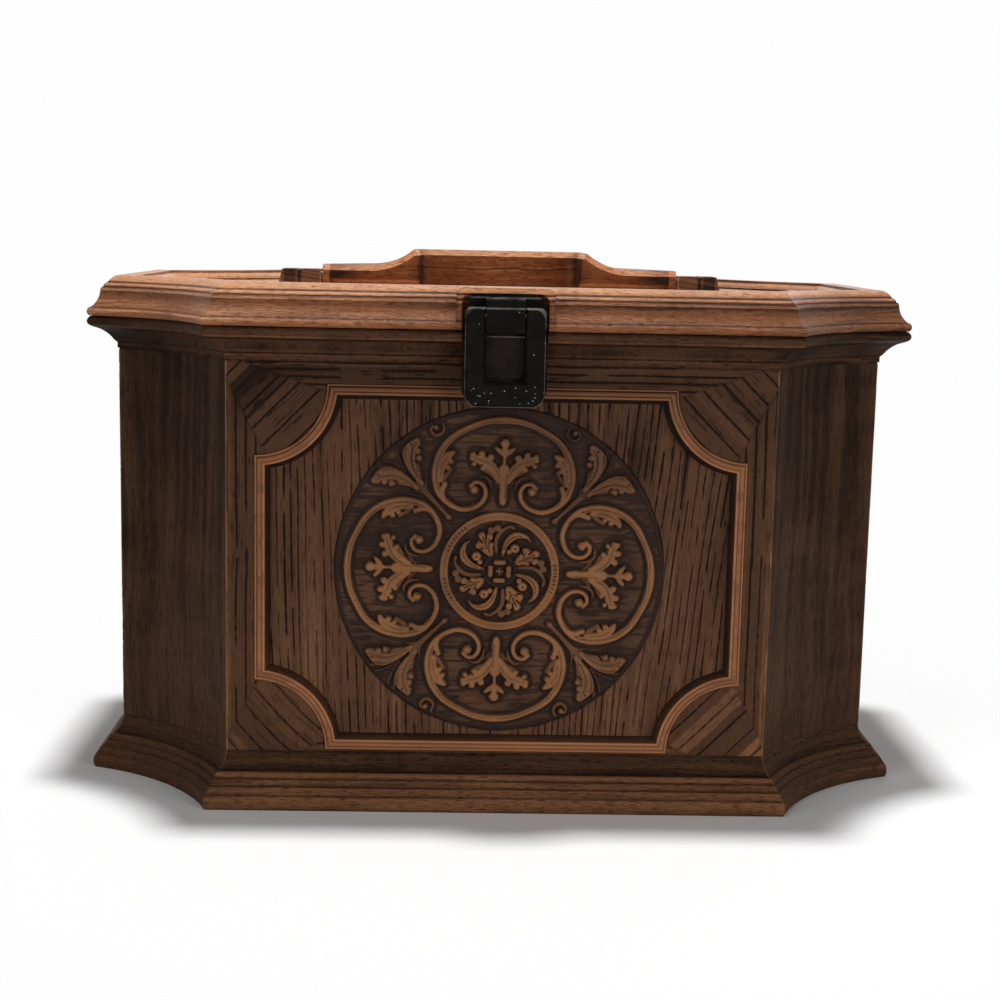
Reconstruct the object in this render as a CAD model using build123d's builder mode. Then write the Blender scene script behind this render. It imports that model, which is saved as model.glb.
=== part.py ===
from build123d import *
from math import cos, radians, sin
import os

# Sewing box in moulded, wood-grained plastic: a long octagon whose four corners are hollowed by
# upright arcs, with a hinged lid, a folding handle, a snap hasp and a lift-out tray.
# Frame: origin at the centre of the underside, front towards -Y, +Z up, millimetres.

os.makedirs("parts", exist_ok=True)

# Plan. An inset is how far a surface lies behind the widest mouldings, all the way round.
HALF_LENGTH = 184.0
HALF_DEPTH = 119.0
HOLLOW_RADIUS = 100.0
HOLLOW_OFFSET = 35.0
WALL_INSET = 12.7
WALL = 6.0
LINING_INSET = WALL_INSET + WALL

# Heights
FLOOR = 6.0
CASE_TOP = 207.0
LID_BOTTOM = 207.3
LID_TOP = 225.0
LID_FIELD = 221.0
LID_CEILING = 217.0

# Tongue on the case, inside the lid's rim
TONGUE_INSET = 15.9
TONGUE_TOP = 211.0
LID_RIM_INSET = 15.5

# Sections of the mouldings as (inset, height), with a third value for a round or, below 0, a hollow
BASE_SECTION = [
    (0.8, 0.0), (0.8, 6.0, 0.8), (1.3, 6.6), (3.2, 9.5), (3.9, 9.7), (5.6, 12.1, -0.3),
    (6.2, 12.4), (8.2, 14.9, 0.6), (8.9, 15.2), (WALL_INSET, 23.0, -0.8),
]
CORNICE_SECTION = [
    (WALL_INSET, 192.6), (11.9, 192.8), (11.9, 195.2), (10.6, 196.4), (5.0, 201.4, -0.5),
    (1.8, 202.6), (0.7, 203.3), (0.7, 206.4, 0.7), (1.2, CASE_TOP),
]
LID_SECTION = [
    (0.9, LID_BOTTOM), (0.9, 210.9, 0.9), (1.7, 211.1), (5.4, 218.6, -0.9), (5.4, 219.1),
    (6.1, 219.9), (6.6, 220.0), (7.6, 221.6, 0.3), (8.2, 221.9), (8.6, 222.3), (11.8, LID_TOP, 0.3),
]
LID_SINK_SECTION = [(24.5, LID_FIELD), (21.2, 223.6, -0.5), (20.4, 223.8), (20.4, LID_TOP + 0.5)]
LID_BEAD_INSETS = (36.0, 39.5)
LID_BEAD_TOP = 221.9

# Framed panels: half width, bottom, top and notch radius
FRONT_PANEL = (104.5, 24.6, 183.0, 30.6)
END_PANEL = (40.0, 37.0, 178.0, 15.0)
FRAME_WIDTH = 6.3
FRAME_CREST = 4.2
FRAME_STEP = 1.2
FRAME_PROUD = 1.8
FIELD_SUNK = 3.0

# Medallion
MEDALLION_HEIGHT = 103.6
MEDALLION_RADIUS = 70.9
MEDALLION_SEAT = 1.0
SEAT_CLEARANCE = 0.2
MEDALLION_PLATE = 1.0
MEDALLION_TURN = 1.4
ORNAMENT_PROUD = 2.2
ORNAMENT_LOW = 1.3
RING_OUTER = 26.0
RING_INNER = 21.9
ROLL_OUTER = 8.0
ROLL_INNER = 5.4
PETAL_PLACE = 4.0
PETAL_RADIUS = 1.3

# Ornament as (sideways, outward, half width), for one half of the top quarter
LOOP = [
    (0.0, 65.4, 1.6), (12.7, 63.0, 1.4), (21.8, 57.6, 1.5), (26.8, 51.3, 1.6), (28.9, 44.5, 1.65),
    (29.0, 38.8, 1.5), (27.1, 32.8, 1.3), (22.5, 28.3, 1.15), (17.0, 26.3, 1.15), (11.4, 27.6, 1.05),
    (8.0, 31.1, 0.95), (7.5, 35.0, 0.9), (9.3, 37.7, 0.85), (12.0, 38.2, 0.85), (14.1, 36.6, 0.8),
]
LOOP_LEAF = [(26.8, 39.4, 1.0), (27.0, 43.4, 1.4), (26.0, 47.0, 1.8), (24.2, 49.6, 1.6),
             (22.2, 50.8, 0.8)]
LOOP_SPUR = [(25.4, 30.8, 0.8), (26.0, 34.0, 1.0), (25.0, 37.2, 1.0)]
STEM = [(0.0, 29.4, 0.9), (0.0, 31.9, 1.5), (0.0, 35.3, 2.0), (0.0, 39.9, 2.3), (0.0, 44.0, 2.4)]
STEM_NECK = [(0.0, 43.0, 0.6), (0.0, 48.5, 0.6), (0.0, 52.0, 1.3), (0.0, 54.0, 1.3)]
STEM_LEAF = [(1.6, 42.8, 1.5), (5.3, 46.2, 1.9), (8.8, 48.2, 2.0), (11.8, 49.1, 1.7), (14.0, 49.4, 0.8)]
CRESCENT = [(11.2, 40.3, 0.4), (8.0, 40.6, 0.75), (5.8, 38.2, 0.75), (5.1, 34.4, 0.4)]
QUARTER_DOTS = [(12.4, 35.0, 2.1), (0.0, 55.4, 2.35), (5.0, 49.2, 1.5)]

# The same for one half of the spray between two quarters, measured along the diagonal
SPRAY_STEM = [(0.0, 31.6, 1.3), (0.0, 36.0, 1.1), (0.0, 43.0, 1.4), (0.0, 51.5, 1.7)]
SPRAY_LEAF = [(1.4, 51.0, 0.9), (2.4, 56.5, 1.5), (4.4, 60.9, 2.0), (7.2, 64.2, 2.3), (10.4, 65.2, 1.9),
              (12.9, 65.9, 0.8)]
SPRAY_SPUR = [(3.2, 54.5, 0.6), (5.6, 57.6, 0.7), (8.2, 59.9, 0.9)]
SPRAY_FROND = [(0.9, 57.0, 0.5), (2.2, 63.0, 0.6), (4.2, 68.6, 0.7)]
SPRAY_CURL = [(4.5, 51.0, 0.45), (2.4, 49.2, 0.6), (1.0, 46.6, 0.5)]

# Curls by the rim, in all four corners of the plate
RIM_CURL = [(27.2, 63.9, 0.55), (26.4, 61.6, 0.55), (27.2, 59.2, 0.6), (29.6, 58.0, 0.65),
            (32.1, 60.0, 0.65), (31.2, 62.2, 0.6), (29.2, 61.8, 0.55)]

# Rosette as (radius, degrees, half width), for one of its four turns
ROSETTE_HOOK = [(7.4, 82.0, 0.9), (10.0, 80.5, 1.0), (13.2, 77.5, 1.5), (16.3, 71.0, 1.8),
                (18.2, 62.0, 1.4), (18.9, 53.0, 0.8), (18.4, 46.5, 0.5)]
ROSETTE_FROND = [(7.4, 103.0, 0.9), (13.8, 98.0, 1.1), (17.5, 89.0, 1.0), (19.7, 80.0, 0.8),
                 (19.8, 74.5, 1.0)]
ROSETTE_DOTS = [(17.0, 117.5, 1.9), (15.6, 108.5, 1.6), (14.0, 129.5, 1.9), (11.6, 122.5, 2.1),
                (12.4, 113.0, 1.8), (9.4, 119.0, 1.5), (11.9, 58.5, 2.3), (9.4, 66.0, 1.1)]
ROSETTE_LOW_DOTS = [(18.8, 95.0, 1.5), (18.2, 103.5, 1.5)]

# Latch, all about the middle of the front
SURROUND_HALF = 20.5
SURROUND_CORNER = 3.5
SURROUND_EDGE = 0.6
LATCH_CORNER = 4.0
HASP_CORNER = 5.6
HASP_SHOULDER = 2.5
HASP_BEVEL = 0.9
TAB_EDGE = 2.0
BLOCK_CORNER = 1.5
LATCH_SCREW_HOLE = 3.0
KEEPER_SCREW_HOLE = 6.0
SURROUND_FACE = 118.8
POCKET_HALF = 18.1
POCKET_TOP = 222.7
POCKET_FLOOR = 112.5
MOUNT_HALF = 15.5
MOUNT_BOTTOM = 207.6
MOUNT_TOP = 222.2
MOUNT_FACE = 117.0
TAB_HALF = 8.0
TAB_BOTTOM = 206.6
TAB_TOP = 221.0
TAB_FACE = 123.2
KEEPER_HALF = 17.7
KEEPER_BOTTOM = 177.5
KEEPER_TOP = 206.2
KEEPER_FACE = 117.5
BLOCK_BOTTOM = 187.9
BLOCK_TOP = 205.1
BLOCK_FACE = 119.6
HASP_HALF = 16.6
HASP_BOTTOM = 176.0
HASP_TOP = 217.0
HASP_BACK = 119.9
HASP_FRONT = 123.5
HASP_WINDOW_HALF = 8.35
HASP_WINDOW_BOTTOM = 186.2
HASP_AXIS_HEIGHT = 213.5
HASP_PIN_RADIUS = 1.0
HASP_PIN_HALF = 12.0
PIN_CLEARANCE = 0.05

# Back hinges
HINGE_SPACING = 190.0
HINGE_WIDTH = 44.0
HINGE_SEAT_HALF = 24.0
HINGE_SEAT_FACE = 117.6
HINGE_SEAT_BOTTOM = 187.0
HINGE_SEAT_TOP = 223.0
LEAF = 1.6
HINGE_AXIS = (120.8, 207.15)
BARREL_RADIUS = 2.7
HINGE_PIN_RADIUS = 1.25
MIDDLE_KNUCKLE = 18.0
KNUCKLE_GAP = 0.4
LEAF_REACH = 14.0
LEAF_SETBACK = 3.2
LEAF_SCREW_X = 14.0
LEAF_SCREW_RISE = 10.5
LEAF_SCREW_DEPTH = 8.0

# Handle, folded back on the lid
HANDLE_AXIS_HEIGHT = 226.0
HANDLE_HALF = 84.2
HANDLE_FRONT = 4.6
HANDLE_BACK = 46.0
HANDLE_UNDERSIDE = 221.4
HANDLE_ARM_TOP = 230.7
HANDLE_GRIP_TOP = 238.2
HANDLE_BEVEL = 2.6
HANDLE_SHOULDER = 62.0
HANDLE_RISE = (50.5, 232.9)
HANDLE_CREST = 41.5
HANDLE_END_BACK = 9.0
HANDLE_CORNER = 14.0
OPENING_HALF = 38.0
OPENING_BACK = 26.0
OPENING_CORNER = 5.0
HANDLE_PIN_RADIUS = 1.5
HANDLE_PIN_INNER = 72.0
HANDLE_PIN_OUTER = 96.0
BRACKET_INNER = 84.7
BRACKET_OUTER = 104.6
BRACKET_HALF_DEPTH = 8.5
BRACKET_TOP = 228.4
BRACKET_STEP = 1.0
BRACKET_HIP = 1.8
BRACKET_GROOVE = (94.8, 0.6, 0.7)
BRACKET_SCREW_HOLE = 5.0

# Screws
SHANK_RADIUS = 1.4
HEAD_RADIUS = 2.8
HEAD_HEIGHT = 2.0
HEAD_CLEARANCE = 0.2
SHANK_CLEARANCE = 0.1
TIP_CLEARANCE = 0.5

# Tray
TRAY_INSET = 19.5
TRAY_CORNER = 60.4
TRAY_WALL = 2.0
TRAY_NOTCH = (-2.0, 12.0)
TRAY_BOTTOM = 170.0
TRAY_TOP = 204.5
DIVIDER_TOP = 200.0
LONG_DIVIDER_Y = 15.0
FRONT_DIVIDER_X = 54.0
BACK_DIVIDER_X = 40.0
PEG_BASE_RADIUS = 2.6
PEG_TIP_RADIUS = 2.0
PEG_TOP = 200.0
PEG_SPACING = 34.0
PEG_CENTRE_X = -44.0
PEG_CENTRE_Y = 52.0
LEDGE_HALF = 110.0
LEDGE_DEPTH = 5.0
LEDGE_BOTTOM = 165.5
LEDGE_TOP = 169.8

FRONT = Plane.XZ
BACK = Plane(origin=(0, 0, 0), x_dir=(-1, 0, 0), z_dir=(0, 1, 0))
RIGHT = Plane(origin=(0, 0, 0), x_dir=(0, 1, 0), z_dir=(1, 0, 0))
LEFT = Plane(origin=(0, 0, 0), x_dir=(0, -1, 0), z_dir=(-1, 0, 0))


def bulge_point(start, end):
    """Middle of a round between two points of a section, raised by the end point's third value."""
    chord = Vector(end[0] - start[0], end[1] - start[1])
    outward = Vector(-chord.Y, chord.X).normalized()
    middle = Vector((start[0] + end[0]) / 2, (start[1] + end[1]) / 2) + outward * end[2]
    return middle.X, middle.Y


def draw_section(section, across):
    """Draw a section as a closed line, where across turns an inset into a distance from the axis."""
    with BuildLine() as edge:
        for start, end in zip(section, section[1:]):
            first = (across(start[0]), start[1])
            last = (across(end[0]), end[1])
            if len(end) == 3:
                inset, height = bulge_point(start, end)
                ThreePointArc(first, (across(inset), height), last)
            else:
                Line(first, last)
        low, high = section[0], section[-1]
        Polyline((across(high[0]), high[1]), (0, high[1]), (0, low[1]), (across(low[0]), low[1]))
    make_face(edge.edges())


def hollow_cutter(section):
    """Turned solid that hollows one corner and leaves the section on it."""
    with BuildPart() as cutter:
        with BuildSketch(Plane.XZ):
            draw_section(section, lambda inset: HOLLOW_RADIUS + inset)
        revolve(axis=Axis.Z)
    return cutter.part


def octagon(section):
    """Solid octagon with hollowed corners that shows the section all the way round."""
    cutter = hollow_cutter(section)
    with BuildPart() as solid:
        with BuildSketch(Plane.YZ):
            draw_section(section, lambda inset: HALF_DEPTH - inset)
            mirror(about=Plane.YZ)
        extrude(amount=HALF_LENGTH, both=True)
        with BuildSketch(Plane.XZ):
            draw_section(section, lambda inset: HALF_LENGTH - inset)
            mirror(about=Plane.YZ)
        extrude(amount=HALF_DEPTH, both=True, mode=Mode.INTERSECT)
        with GridLocations(2 * (HALF_LENGTH + HOLLOW_OFFSET), 2 * (HALF_DEPTH + HOLLOW_OFFSET), 2, 2):
            add(cutter, mode=Mode.SUBTRACT)
    return solid.part


def plain_octagon(inset, bottom, top):
    """Solid octagon with upright sides."""
    return octagon([(inset, bottom), (inset, top)])


def notched_panel(panel, inset):
    """Sketch a rectangle with a round notch at each corner, drawn in by the inset."""
    half_width, bottom, top, notch = panel
    height = top - bottom
    with Locations((0, (bottom + top) / 2)):
        Rectangle(2 * (half_width - inset), height - 2 * inset)
        with GridLocations(2 * half_width, height, 2, 2):
            Circle(notch + inset, mode=Mode.SUBTRACT)


def framed_panel(wall, panel):
    """Raise a stepped, notched frame on a wall and slope its inner side down to a sunk field."""
    with BuildSketch(wall) as outline:
        notched_panel(panel, 0)
    extrude(outline.sketch, amount=FRAME_PROUD - FRAME_STEP / 2)
    with BuildSketch(wall) as crest:
        notched_panel(panel, FRAME_STEP)
    extrude(crest.sketch, amount=FRAME_PROUD)
    with BuildSketch(wall.offset(FRAME_PROUD)) as mouth:
        notched_panel(panel, FRAME_CREST)
    with BuildSketch(wall.offset(-FIELD_SUNK)) as field:
        notched_panel(panel, FRAME_WIDTH)
    loft([mouth.sketch.face(), field.sketch.face()], ruled=True, mode=Mode.SUBTRACT)


def leaf_screw_planes(x, direction, y):
    """Places of one hinge leaf's two screws on an upright plane, facing the back."""
    height = HINGE_AXIS[1] + direction * LEAF_SCREW_RISE
    places = [(x - LEAF_SCREW_X, y, height), (x + LEAF_SCREW_X, y, height)]
    return [Plane(origin=place, z_dir=(0, 1, 0)) for place in places]


def block(x_span, y_span, z_span, mode=Mode.ADD):
    """Box between two corners."""
    middle = tuple((low + high) / 2 for low, high in (x_span, y_span, z_span))
    with Locations(middle):
        Box(x_span[1] - x_span[0], y_span[1] - y_span[0], z_span[1] - z_span[0], mode=mode)


def rod(axis_plane, radius, length, mode=Mode.ADD):
    """Round bar or hole from a plane along its normal."""
    with BuildSketch(axis_plane) as disc:
        Circle(radius)
    extrude(disc.sketch, amount=length, mode=mode)


# Case: base moulding, wall, framed panels, cornice and tongue in one moulding
case_outside = octagon(BASE_SECTION + CORNICE_SECTION)
tongue = plain_octagon(TONGUE_INSET, CASE_TOP - 5, TONGUE_TOP)
case_inside = plain_octagon(LINING_INSET, FLOOR, TONGUE_TOP + 1)
KEEPER_SCREW_X = 12.0
KEEPER_SCREW_Z = 192.0
LINING_Y = HALF_DEPTH - LINING_INSET
WALL_Y = HALF_DEPTH - WALL_INSET
WALL_X = HALF_LENGTH - WALL_INSET
with BuildPart() as body_shell:
    add(case_outside)
    add(tongue)
    add(case_inside, mode=Mode.SUBTRACT)
    framed_panel(FRONT.offset(WALL_Y), FRONT_PANEL)
    framed_panel(BACK.offset(WALL_Y), FRONT_PANEL)
    framed_panel(RIGHT.offset(WALL_X), END_PANEL)
    framed_panel(LEFT.offset(WALL_X), END_PANEL)
    with BuildSketch(FRONT.offset(WALL_Y - FIELD_SUNK)):
        with Locations((0, MEDALLION_HEIGHT)):
            Circle(MEDALLION_RADIUS + SEAT_CLEARANCE)
    extrude(amount=-MEDALLION_SEAT, mode=Mode.SUBTRACT)
    keeper_span = (-KEEPER_HALF - 0.1, KEEPER_HALF + 0.1)
    block(keeper_span, (-HALF_DEPTH - 1, -WALL_Y), (KEEPER_BOTTOM - 0.1, CASE_TOP + 1), Mode.SUBTRACT)
    for x in (-KEEPER_SCREW_X, KEEPER_SCREW_X):
        start = Plane(origin=(x, -LINING_Y, KEEPER_SCREW_Z), z_dir=(0, -1, 0))
        rod(start, HEAD_RADIUS + HEAD_CLEARANCE, HEAD_HEIGHT + HEAD_CLEARANCE, Mode.SUBTRACT)
        rod(start, SHANK_RADIUS + SHANK_CLEARANCE, WALL, Mode.SUBTRACT)
    for x in (-HINGE_SPACING / 2, HINGE_SPACING / 2):
        seat = (x - HINGE_SEAT_HALF, x + HINGE_SEAT_HALF)
        block(seat, (LINING_Y, HINGE_SEAT_FACE), (HINGE_SEAT_BOTTOM, CASE_TOP))
        block(seat, (HINGE_SEAT_FACE, HALF_DEPTH + 1), (HINGE_SEAT_BOTTOM, CASE_TOP + 1), Mode.SUBTRACT)
        for hole in leaf_screw_planes(x, -1, HINGE_SEAT_FACE - LEAF_SCREW_DEPTH):
            rod(hole, SHANK_RADIUS, LEAF_SCREW_DEPTH, Mode.SUBTRACT)

# Lid: edge moulding, sunk top with a bead, latch surround and hinge seats
lid_outside = octagon(LID_SECTION)
lid_sink = octagon(LID_SINK_SECTION)
lid_inside = plain_octagon(LID_RIM_INSET, LID_BOTTOM - 1, LID_CEILING)
bead_outside = plain_octagon(LID_BEAD_INSETS[0], LID_FIELD - 1, LID_BEAD_TOP)
bead_inside = plain_octagon(LID_BEAD_INSETS[1], LID_FIELD, LID_BEAD_TOP + 1)
RIM_Y = HALF_DEPTH - LID_RIM_INSET
LATCH_SCREW_X = 11.0
LATCH_SCREW_Z = 212.5
BRACKET_SCREW_X = 94.6
BRACKET_SCREW_Y = 5.2
with BuildPart() as lid_shell:
    add(lid_outside)
    for inset in (0, SURROUND_EDGE):
        with BuildSketch(FRONT.offset(RIM_Y)):
            with Locations((0, LID_BOTTOM)):
                Rectangle(2 * (SURROUND_HALF - inset), LID_TOP - LID_BOTTOM - inset,
                          align=(Align.CENTER, Align.MIN))
            fillet(vertices().group_by(Axis.Y)[-1], radius=SURROUND_CORNER - inset)
        extrude(amount=SURROUND_FACE - SURROUND_EDGE + inset - RIM_Y)
    for x in (-HINGE_SPACING / 2, HINGE_SPACING / 2):
        seat = (x - HINGE_SEAT_HALF, x + HINGE_SEAT_HALF)
        block(seat, (RIM_Y, HINGE_SEAT_FACE), (LID_BOTTOM, HINGE_SEAT_TOP))
        block(seat, (HINGE_SEAT_FACE, HALF_DEPTH + 1), (LID_BOTTOM - 1, HINGE_SEAT_TOP), Mode.SUBTRACT)
        for hole in leaf_screw_planes(x, 1, HINGE_SEAT_FACE - LEAF_SCREW_DEPTH):
            rod(hole, SHANK_RADIUS, LEAF_SCREW_DEPTH, Mode.SUBTRACT)
    add(lid_sink, mode=Mode.SUBTRACT)
    add(bead_outside)
    add(bead_inside, mode=Mode.SUBTRACT)
    add(lid_inside, mode=Mode.SUBTRACT)
    with BuildSketch(FRONT.offset(POCKET_FLOOR)):
        with Locations((0, LID_BOTTOM - 1)):
            Rectangle(2 * POCKET_HALF, POCKET_TOP - LID_BOTTOM + 1, align=(Align.CENTER, Align.MIN))
        fillet(vertices().group_by(Axis.Y)[-1], radius=LATCH_CORNER)
    extrude(amount=HALF_DEPTH, mode=Mode.SUBTRACT)
    for x in (-LATCH_SCREW_X, LATCH_SCREW_X):
        start = Plane(origin=(x, -RIM_Y, LATCH_SCREW_Z), z_dir=(0, -1, 0))
        rod(start, HEAD_RADIUS + HEAD_CLEARANCE, HEAD_HEIGHT + HEAD_CLEARANCE, Mode.SUBTRACT)
        rod(start, SHANK_RADIUS + SHANK_CLEARANCE, POCKET_FLOOR - RIM_Y, Mode.SUBTRACT)
    with GridLocations(2 * BRACKET_SCREW_X, 2 * BRACKET_SCREW_Y, 2, 2):
        with Locations((0, 0, (LID_CEILING + LID_FIELD) / 2)):
            Cylinder(SHANK_RADIUS + SHANK_CLEARANCE, LID_FIELD - LID_CEILING + 1, mode=Mode.SUBTRACT)

# Medallion: a round plate with scroll loops, palmettes, sprays and a swirling rosette in a flat ring
PLATE_Y = WALL_Y - FIELD_SUNK - MEDALLION_SEAT + MEDALLION_PLATE
clockwise = (cos(radians(MEDALLION_TURN)), 0, -sin(radians(MEDALLION_TURN)))
ornament_ground = Plane(origin=(0, -PLATE_Y, MEDALLION_HEIGHT), x_dir=clockwise, z_dir=(0, -1, 0))


def stroke(points, side=1):
    """Sketch a tapering stroke through (sideways, outward, half width) points, with round ends."""
    left, right = [], []
    for index, (across, out, half) in enumerate(points):
        before = points[max(index - 1, 0)]
        after = points[min(index + 1, len(points) - 1)]
        along = Vector(after[0] - before[0], after[1] - before[1]).normalized()
        left.append((side * (across - along.Y * half), out + along.X * half))
        right.append((side * (across + along.Y * half), out - along.X * half))
    Polygon(*left, *reversed(right), align=None)
    for across, out, half in (points[0], points[-1]):
        dot((side * across, out, half))


def dot(place):
    """Sketch a round dot from (sideways, outward, radius)."""
    with Locations((place[0], place[1])):
        Circle(place[2])


def polar(points):
    """Turn (radius, degrees, half width) points into (sideways, outward, half width) points."""
    return [(radius * cos(radians(turn)), radius * sin(radians(turn)), half) for radius, turn, half in points]


with BuildPart() as front_medallion:
    with BuildSketch(FRONT.offset(PLATE_Y - MEDALLION_PLATE)):
        with Locations((0, MEDALLION_HEIGHT)):
            Circle(MEDALLION_RADIUS)
    extrude(amount=MEDALLION_PLATE)
    with BuildSketch(ornament_ground) as high:
        Circle(RING_OUTER)
        Circle(RING_INNER, mode=Mode.SUBTRACT)
        with PolarLocations(0, 4):
            stroke(STEM)
            stroke(STEM_NECK)
            for side in (-1, 1):
                for line in (LOOP, LOOP_LEAF, LOOP_SPUR, STEM_LEAF):
                    stroke(line, side)
                for across, out, radius in QUARTER_DOTS:
                    dot((side * across, out, radius))
            stroke(polar(ROSETTE_HOOK))
            for place in polar(ROSETTE_DOTS):
                dot(place)
            dot((0, PETAL_PLACE, PETAL_RADIUS))
        with PolarLocations(0, 4, start_angle=45):
            for side in (-1, 1):
                stroke(SPRAY_LEAF, side)
        dot((0, 0, PETAL_RADIUS))
    extrude(high.sketch, amount=ORNAMENT_PROUD)
    with BuildSketch(ornament_ground) as low:
        Circle(ROLL_OUTER)
        Circle(ROLL_INNER, mode=Mode.SUBTRACT)
        with PolarLocations(0, 4):
            for side in (-1, 1):
                stroke(CRESCENT, side)
            stroke(polar(ROSETTE_FROND))
            for place in polar(ROSETTE_LOW_DOTS):
                dot(place)
        with PolarLocations(0, 4, start_angle=45):
            stroke(SPRAY_STEM)
            for side in (-1, 1):
                for line in (SPRAY_SPUR, SPRAY_FROND, SPRAY_CURL):
                    stroke(line, side)
        with PolarLocations(0, 2):
            for side in (-1, 1):
                stroke(RIM_CURL, side)
    extrude(low.sketch, amount=ORNAMENT_LOW)

# Latch plate and knuckle on the lid
with BuildPart() as latch_mount:
    with BuildSketch(FRONT.offset(POCKET_FLOOR)):
        with Locations((0, (MOUNT_BOTTOM + MOUNT_TOP) / 2)):
            Rectangle(2 * MOUNT_HALF, MOUNT_TOP - MOUNT_BOTTOM)
        fillet(vertices().group_by(Axis.Y)[-1], radius=LATCH_CORNER)
    extrude(amount=MOUNT_FACE - POCKET_FLOOR)
    with BuildSketch(FRONT.offset(MOUNT_FACE)):
        with Locations((0, (TAB_BOTTOM + TAB_TOP) / 2)):
            Rectangle(2 * TAB_HALF, TAB_TOP - TAB_BOTTOM)
    extrude(amount=TAB_FACE - MOUNT_FACE)
    fillet(faces().sort_by(Axis.Y)[0].edges().sort_by(Axis.Z)[-1:], radius=TAB_EDGE)
    hasp_axis = Plane(origin=(-TAB_HALF, -(HASP_BACK + HASP_FRONT) / 2, HASP_AXIS_HEIGHT), z_dir=(1, 0, 0))
    rod(hasp_axis, HASP_PIN_RADIUS, 2 * TAB_HALF, Mode.SUBTRACT)
    for x in (-LATCH_SCREW_X, LATCH_SCREW_X):
        start = Plane(origin=(x, -POCKET_FLOOR, LATCH_SCREW_Z), z_dir=(0, -1, 0))
        rod(start, SHANK_RADIUS, LATCH_SCREW_HOLE, Mode.SUBTRACT)

HASP_AXIS_Y = -(HASP_BACK + HASP_FRONT) / 2
with BuildPart() as latch_pin:
    rod(Plane(origin=(-HASP_PIN_HALF, HASP_AXIS_Y, HASP_AXIS_HEIGHT), z_dir=(1, 0, 0)),
        HASP_PIN_RADIUS, 2 * HASP_PIN_HALF)

# Hasp: two arms and a bottom bar round an open window
with BuildPart() as latch_hasp:
    with BuildSketch(FRONT.offset(HASP_BACK)):
        with Locations((0, (HASP_BOTTOM + HASP_TOP) / 2)):
            Rectangle(2 * HASP_HALF, HASP_TOP - HASP_BOTTOM)
        fillet(vertices().group_by(Axis.Y)[0], radius=HASP_CORNER)
        fillet(vertices().group_by(Axis.Y)[-1], radius=HASP_SHOULDER)
        with Locations((0, HASP_WINDOW_BOTTOM)):
            Rectangle(2 * HASP_WINDOW_HALF, HASP_TOP, align=(Align.CENTER, Align.MIN), mode=Mode.SUBTRACT)
    extrude(amount=HASP_FRONT - HASP_BACK)
    chamfer(faces().sort_by(Axis.Y)[0].outer_wire().edges(), length=HASP_BEVEL)
    for side in (-1, 1):
        inner = Plane(origin=(side * TAB_HALF, HASP_AXIS_Y, HASP_AXIS_HEIGHT), z_dir=(side, 0, 0))
        rod(inner, HASP_PIN_RADIUS + PIN_CLEARANCE, HASP_PIN_HALF - TAB_HALF + 0.2, Mode.SUBTRACT)

# Keeper: a boss under the cornice with the block that stands in the hasp's window
with BuildPart() as latch_keeper:
    with BuildSketch(FRONT.offset(WALL_Y)):
        with Locations((0, (KEEPER_BOTTOM + KEEPER_TOP) / 2)):
            Rectangle(2 * KEEPER_HALF, KEEPER_TOP - KEEPER_BOTTOM)
        fillet(vertices().group_by(Axis.Y)[0], radius=HASP_CORNER)
    extrude(amount=KEEPER_FACE - WALL_Y)
    with BuildSketch(FRONT.offset(KEEPER_FACE)):
        with Locations((0, (BLOCK_BOTTOM + BLOCK_TOP) / 2)):
            Rectangle(2 * TAB_HALF, BLOCK_TOP - BLOCK_BOTTOM)
        fillet(vertices().group_by(Axis.Y)[0], radius=BLOCK_CORNER)
    extrude(amount=BLOCK_FACE - KEEPER_FACE)
    for x in (-KEEPER_SCREW_X, KEEPER_SCREW_X):
        start = Plane(origin=(x, -WALL_Y, KEEPER_SCREW_Z), z_dir=(0, -1, 0))
        rod(start, SHANK_RADIUS, KEEPER_SCREW_HOLE, Mode.SUBTRACT)


def screw(head_plane, shank):
    """Pan-head screw whose head starts at a plane and points along its normal."""
    rod(head_plane, HEAD_RADIUS, HEAD_HEIGHT)
    rod(head_plane, SHANK_RADIUS, HEAD_HEIGHT + shank)


with BuildPart() as latch_screws:
    for x in (-LATCH_SCREW_X, LATCH_SCREW_X):
        head = Plane(origin=(x, -RIM_Y - HEAD_CLEARANCE, LATCH_SCREW_Z), z_dir=(0, -1, 0))
        screw(head, POCKET_FLOOR - RIM_Y - HEAD_HEIGHT + LATCH_SCREW_HOLE - TIP_CLEARANCE)

with BuildPart() as keeper_screws:
    for x in (-KEEPER_SCREW_X, KEEPER_SCREW_X):
        head = Plane(origin=(x, -LINING_Y - HEAD_CLEARANCE, KEEPER_SCREW_Z), z_dir=(0, -1, 0))
        screw(head, WALL - HEAD_HEIGHT + KEEPER_SCREW_HOLE - TIP_CLEARANCE - HEAD_CLEARANCE)

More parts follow.
